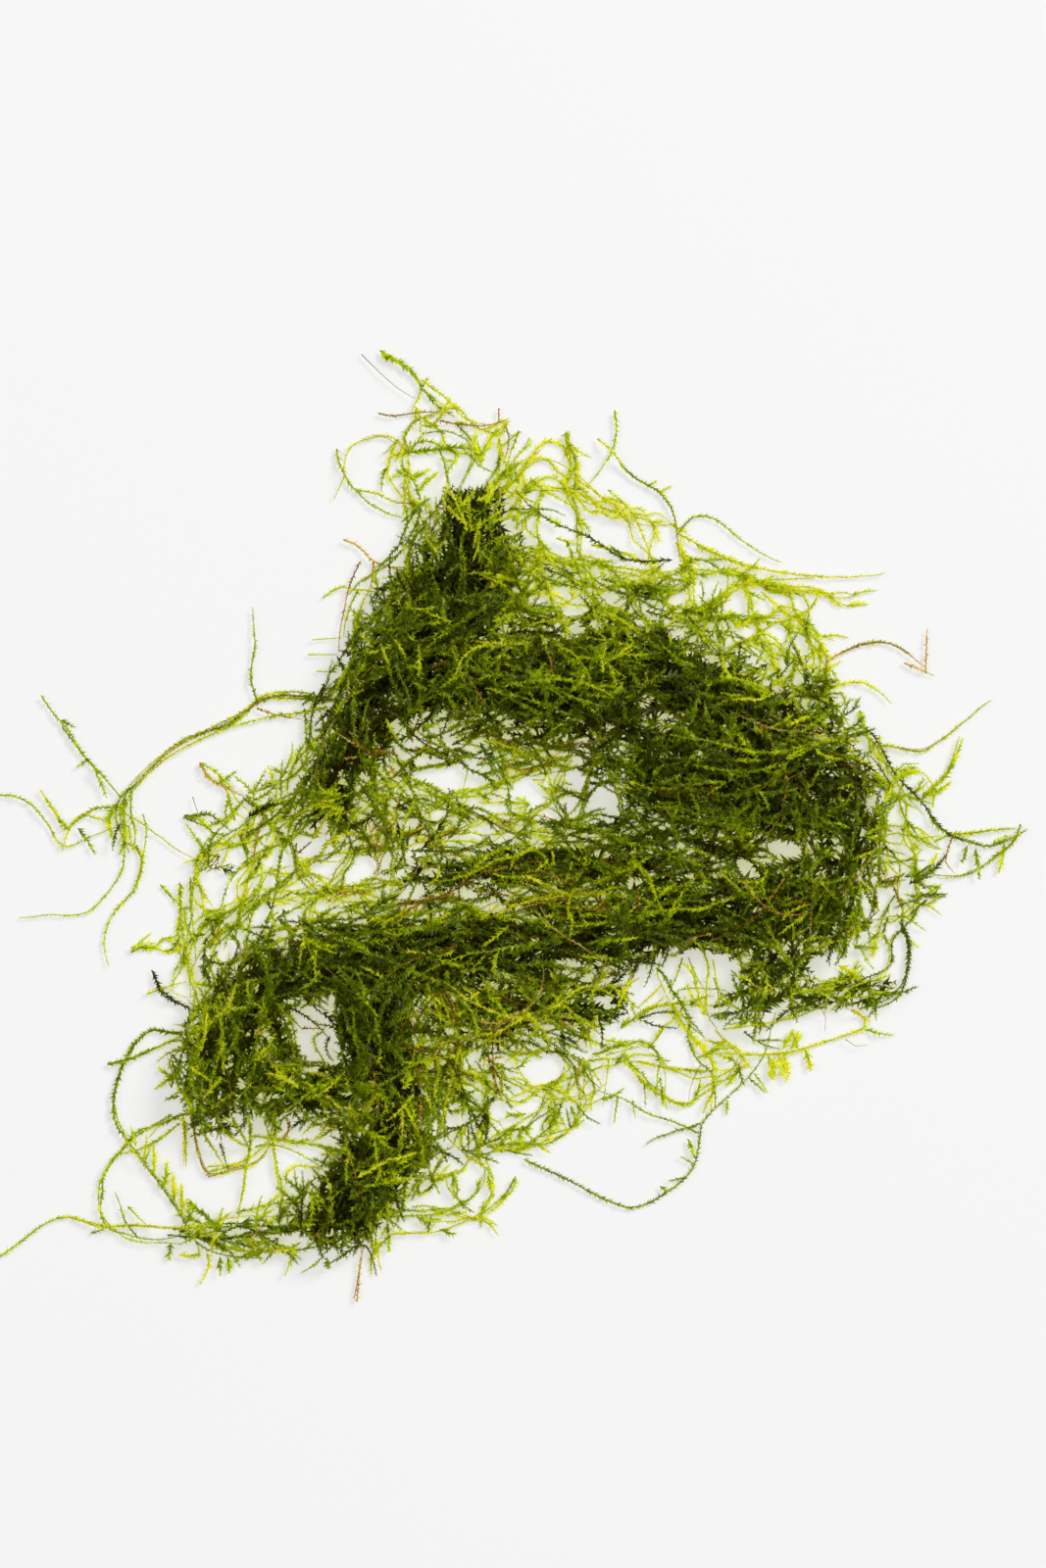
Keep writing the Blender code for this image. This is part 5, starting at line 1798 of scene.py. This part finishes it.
def tidy_slots(mesh):
    """Drop the empty material slot that the bare lines leave behind."""
    used = np.zeros(len(mesh.polygons), dtype=np.int32)
    mesh.polygons.foreach_get("material_index", used)
    kept = [material for material in mesh.materials if material]
    renumbered = [kept.index(material) if material else 0 for material in mesh.materials]
    mesh.materials.clear()
    for material in kept:
        mesh.materials.append(material)
    mesh.polygons.foreach_set("material_index", np.array(renumbered, dtype=np.int32)[used])


def press_flat(mesh):
    """Bend what would pass below the table along it, as leaves of a wet clump do."""
    places = np.empty(3 * len(mesh.vertices), dtype=np.float32)
    mesh.vertices.foreach_get("co", places)
    depth = np.minimum(places[2::3] / PRESSED - 1, 0)
    places[2::3] = np.maximum(places[2::3], PRESSED * np.exp(depth))
    mesh.vertices.foreach_set("co", places)


def dress(name, lines, seed):
    """Turn the lines of a piece into a plain mesh of stems and leaves."""
    piece = bpy.data.objects.new(name + "_moss", line_mesh(name, lines))
    bpy.context.scene.collection.objects.link(piece)
    modifier = piece.modifiers.new("Moss", "NODES")
    modifier.node_group = moss
    settings = {
        "Leaves": pair,
        "Leaf roll": LEAF_ROLL,
        "Tone speckle": TONE_SPECKLE,
        "Seed": seed,
        "Leaf finish": leaf_finish,
        "Stem finish": stem_finish,
    }
    for socket in moss.interface.items_tree:
        if socket.name in settings:
            modifier[socket.identifier] = settings[socket.name]
    graph = bpy.context.evaluated_depsgraph_get()
    mesh = bpy.data.meshes.new_from_object(piece.evaluated_get(graph), depsgraph=graph)
    piece.modifiers.clear()
    piece.data = mesh
    tidy_slots(mesh)
    press_flat(mesh)
    for label in ("tone", "along", "side", "leaf", "spacing", "thickness", "breadth"):
        if label in mesh.attributes:
            mesh.attributes.remove(mesh.attributes[label])
    return piece


triangles = 0
for number, node_name in enumerate(frame["nodes"]):
    piece = dress(node_name, growth[node_name], number)
    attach(piece, "root")
    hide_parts(node_name)
    piece.data.calc_loop_triangles()
    count = len(piece.data.loop_triangles)
    triangles += count
    print(f"  {piece.name}: {count} triangles")
bpy.data.objects.remove(pair, do_unlink=True)
print("all moss:", triangles, "triangles")

# %% [markdown]
# ## The table, the light and the camera
#
# The clump lies on a white table under soft light.  A big soft lamp stands at the upper
# right, so that shadows fall faintly to the lower left, and wet leaves that face it glint.
# The table gives off a little light of its own.  Where moss stands close around a spot of
# it, ambient occlusion dims that light and turns it yellow-green: painted shade and painted
# light, for the shadow of the moss and the light that comes through its leaves.  The camera
# looks straight down.

# %% Table
FLOOR_SIZE = 3.0
OVERHANG = 10 * MM
OPEN_ENOUGH = 0.56
OPEN = (1.0, 1.0, 1.0, 1.0)
# Painted shade for the table's glow under the moss: dim and yellow-green.
PAINTED_SHADE_UNDER_MOSS = (0.80, 0.82, 0.20, 1.0)
AMBIENT_SAMPLES = 4
TABLE_FINISH = {
    "Base Color": (0.28, 0.28, 0.28, 1.0),
    "Emission Strength": 0.60,
    "Roughness": 0.9,
    "Specular IOR Level": 0.1,
}
bpy.ops.mesh.primitive_plane_add(size=FLOOR_SIZE, location=(0, 0, 0))
table = bpy.context.object
table.name = "table"
white = bpy.data.materials.new("white table")
white.use_nodes = True
white_shader = white.node_tree.nodes["Principled BSDF"]
for label, value in TABLE_FINISH.items():
    white_shader.inputs[label].default_value = value
glow = Tree(white.node_tree)
# Painted shade: ambient occlusion dims the table's glow near the moss and turns it yellow-green.
shelter = glow.add(
    "ShaderNodeAmbientOcclusion", {"Distance": OVERHANG}, samples=AMBIENT_SAMPLES
)
painted_shade_tint = glow.add("ShaderNodeValToRGB", {0: shelter.outputs["AO"]})
painted_shade_tint.color_ramp.elements[0].color = PAINTED_SHADE_UNDER_MOSS
painted_shade_tint.color_ramp.elements[1].color = OPEN
painted_shade_tint.color_ramp.elements[1].position = OPEN_ENOUGH
white.node_tree.links.new(painted_shade_tint.outputs[0], white_shader.inputs["Emission Color"])
table.data.materials.append(white)
print("table:", FLOOR_SIZE, "m wide")

# %% Light: place, size and power of each lamp
LAMPS = {
    "soft key": ((1.50, 1.25, 2.00), 1.20, 80.0),
    "soft fill": ((-1.40, 0.20, 2.20), 1.80, 20.0),
}
WORLD_COLOUR = (1.0, 1.0, 0.99, 1.0)
WORLD_LIGHT = 0.20
world = bpy.data.worlds.new("pale room")
world.use_nodes = True
background = world.node_tree.nodes["Background"]
background.inputs["Color"].default_value = WORLD_COLOUR
background.inputs["Strength"].default_value = WORLD_LIGHT
bpy.context.scene.world = world
for lamp_name, (place, size, power) in LAMPS.items():
    lamp_data = bpy.data.lights.new(lamp_name, "AREA")
    lamp_data.shape = "DISK"
    lamp_data.size = size
    lamp_data.energy = power
    lamp = bpy.data.objects.new(lamp_name, lamp_data)
    lamp.location = place
    lamp.rotation_euler = (-Vector(place)).to_track_quat("-Z", "Y").to_euler()
    bpy.context.scene.collection.objects.link(lamp)
print("lamps:", len(LAMPS))

# %% Camera
PICTURE_HEIGHT = 1600
PICTURE_MIDDLE = (533.5, 800.0)
CAMERA_HEIGHT = 0.85
SENSOR = 36.0
aim_x, aim_y = on_table([PICTURE_MIDDLE])[0] * MM
camera_data = bpy.data.cameras.new("camera")
camera_data.sensor_fit = "VERTICAL"
camera_data.sensor_height = SENSOR
camera_data.lens = SENSOR * CAMERA_HEIGHT / (PICTURE_HEIGHT / PIXELS_PER_MM * MM)
camera = bpy.data.objects.new("camera", camera_data)
camera.location = (aim_x, aim_y, CAMERA_HEIGHT)
bpy.context.scene.collection.objects.link(camera)
bpy.context.scene.camera = camera
bpy.context.scene.view_settings.view_transform = "Standard"
print("camera:", round(camera_data.lens, 1), "mm lens")
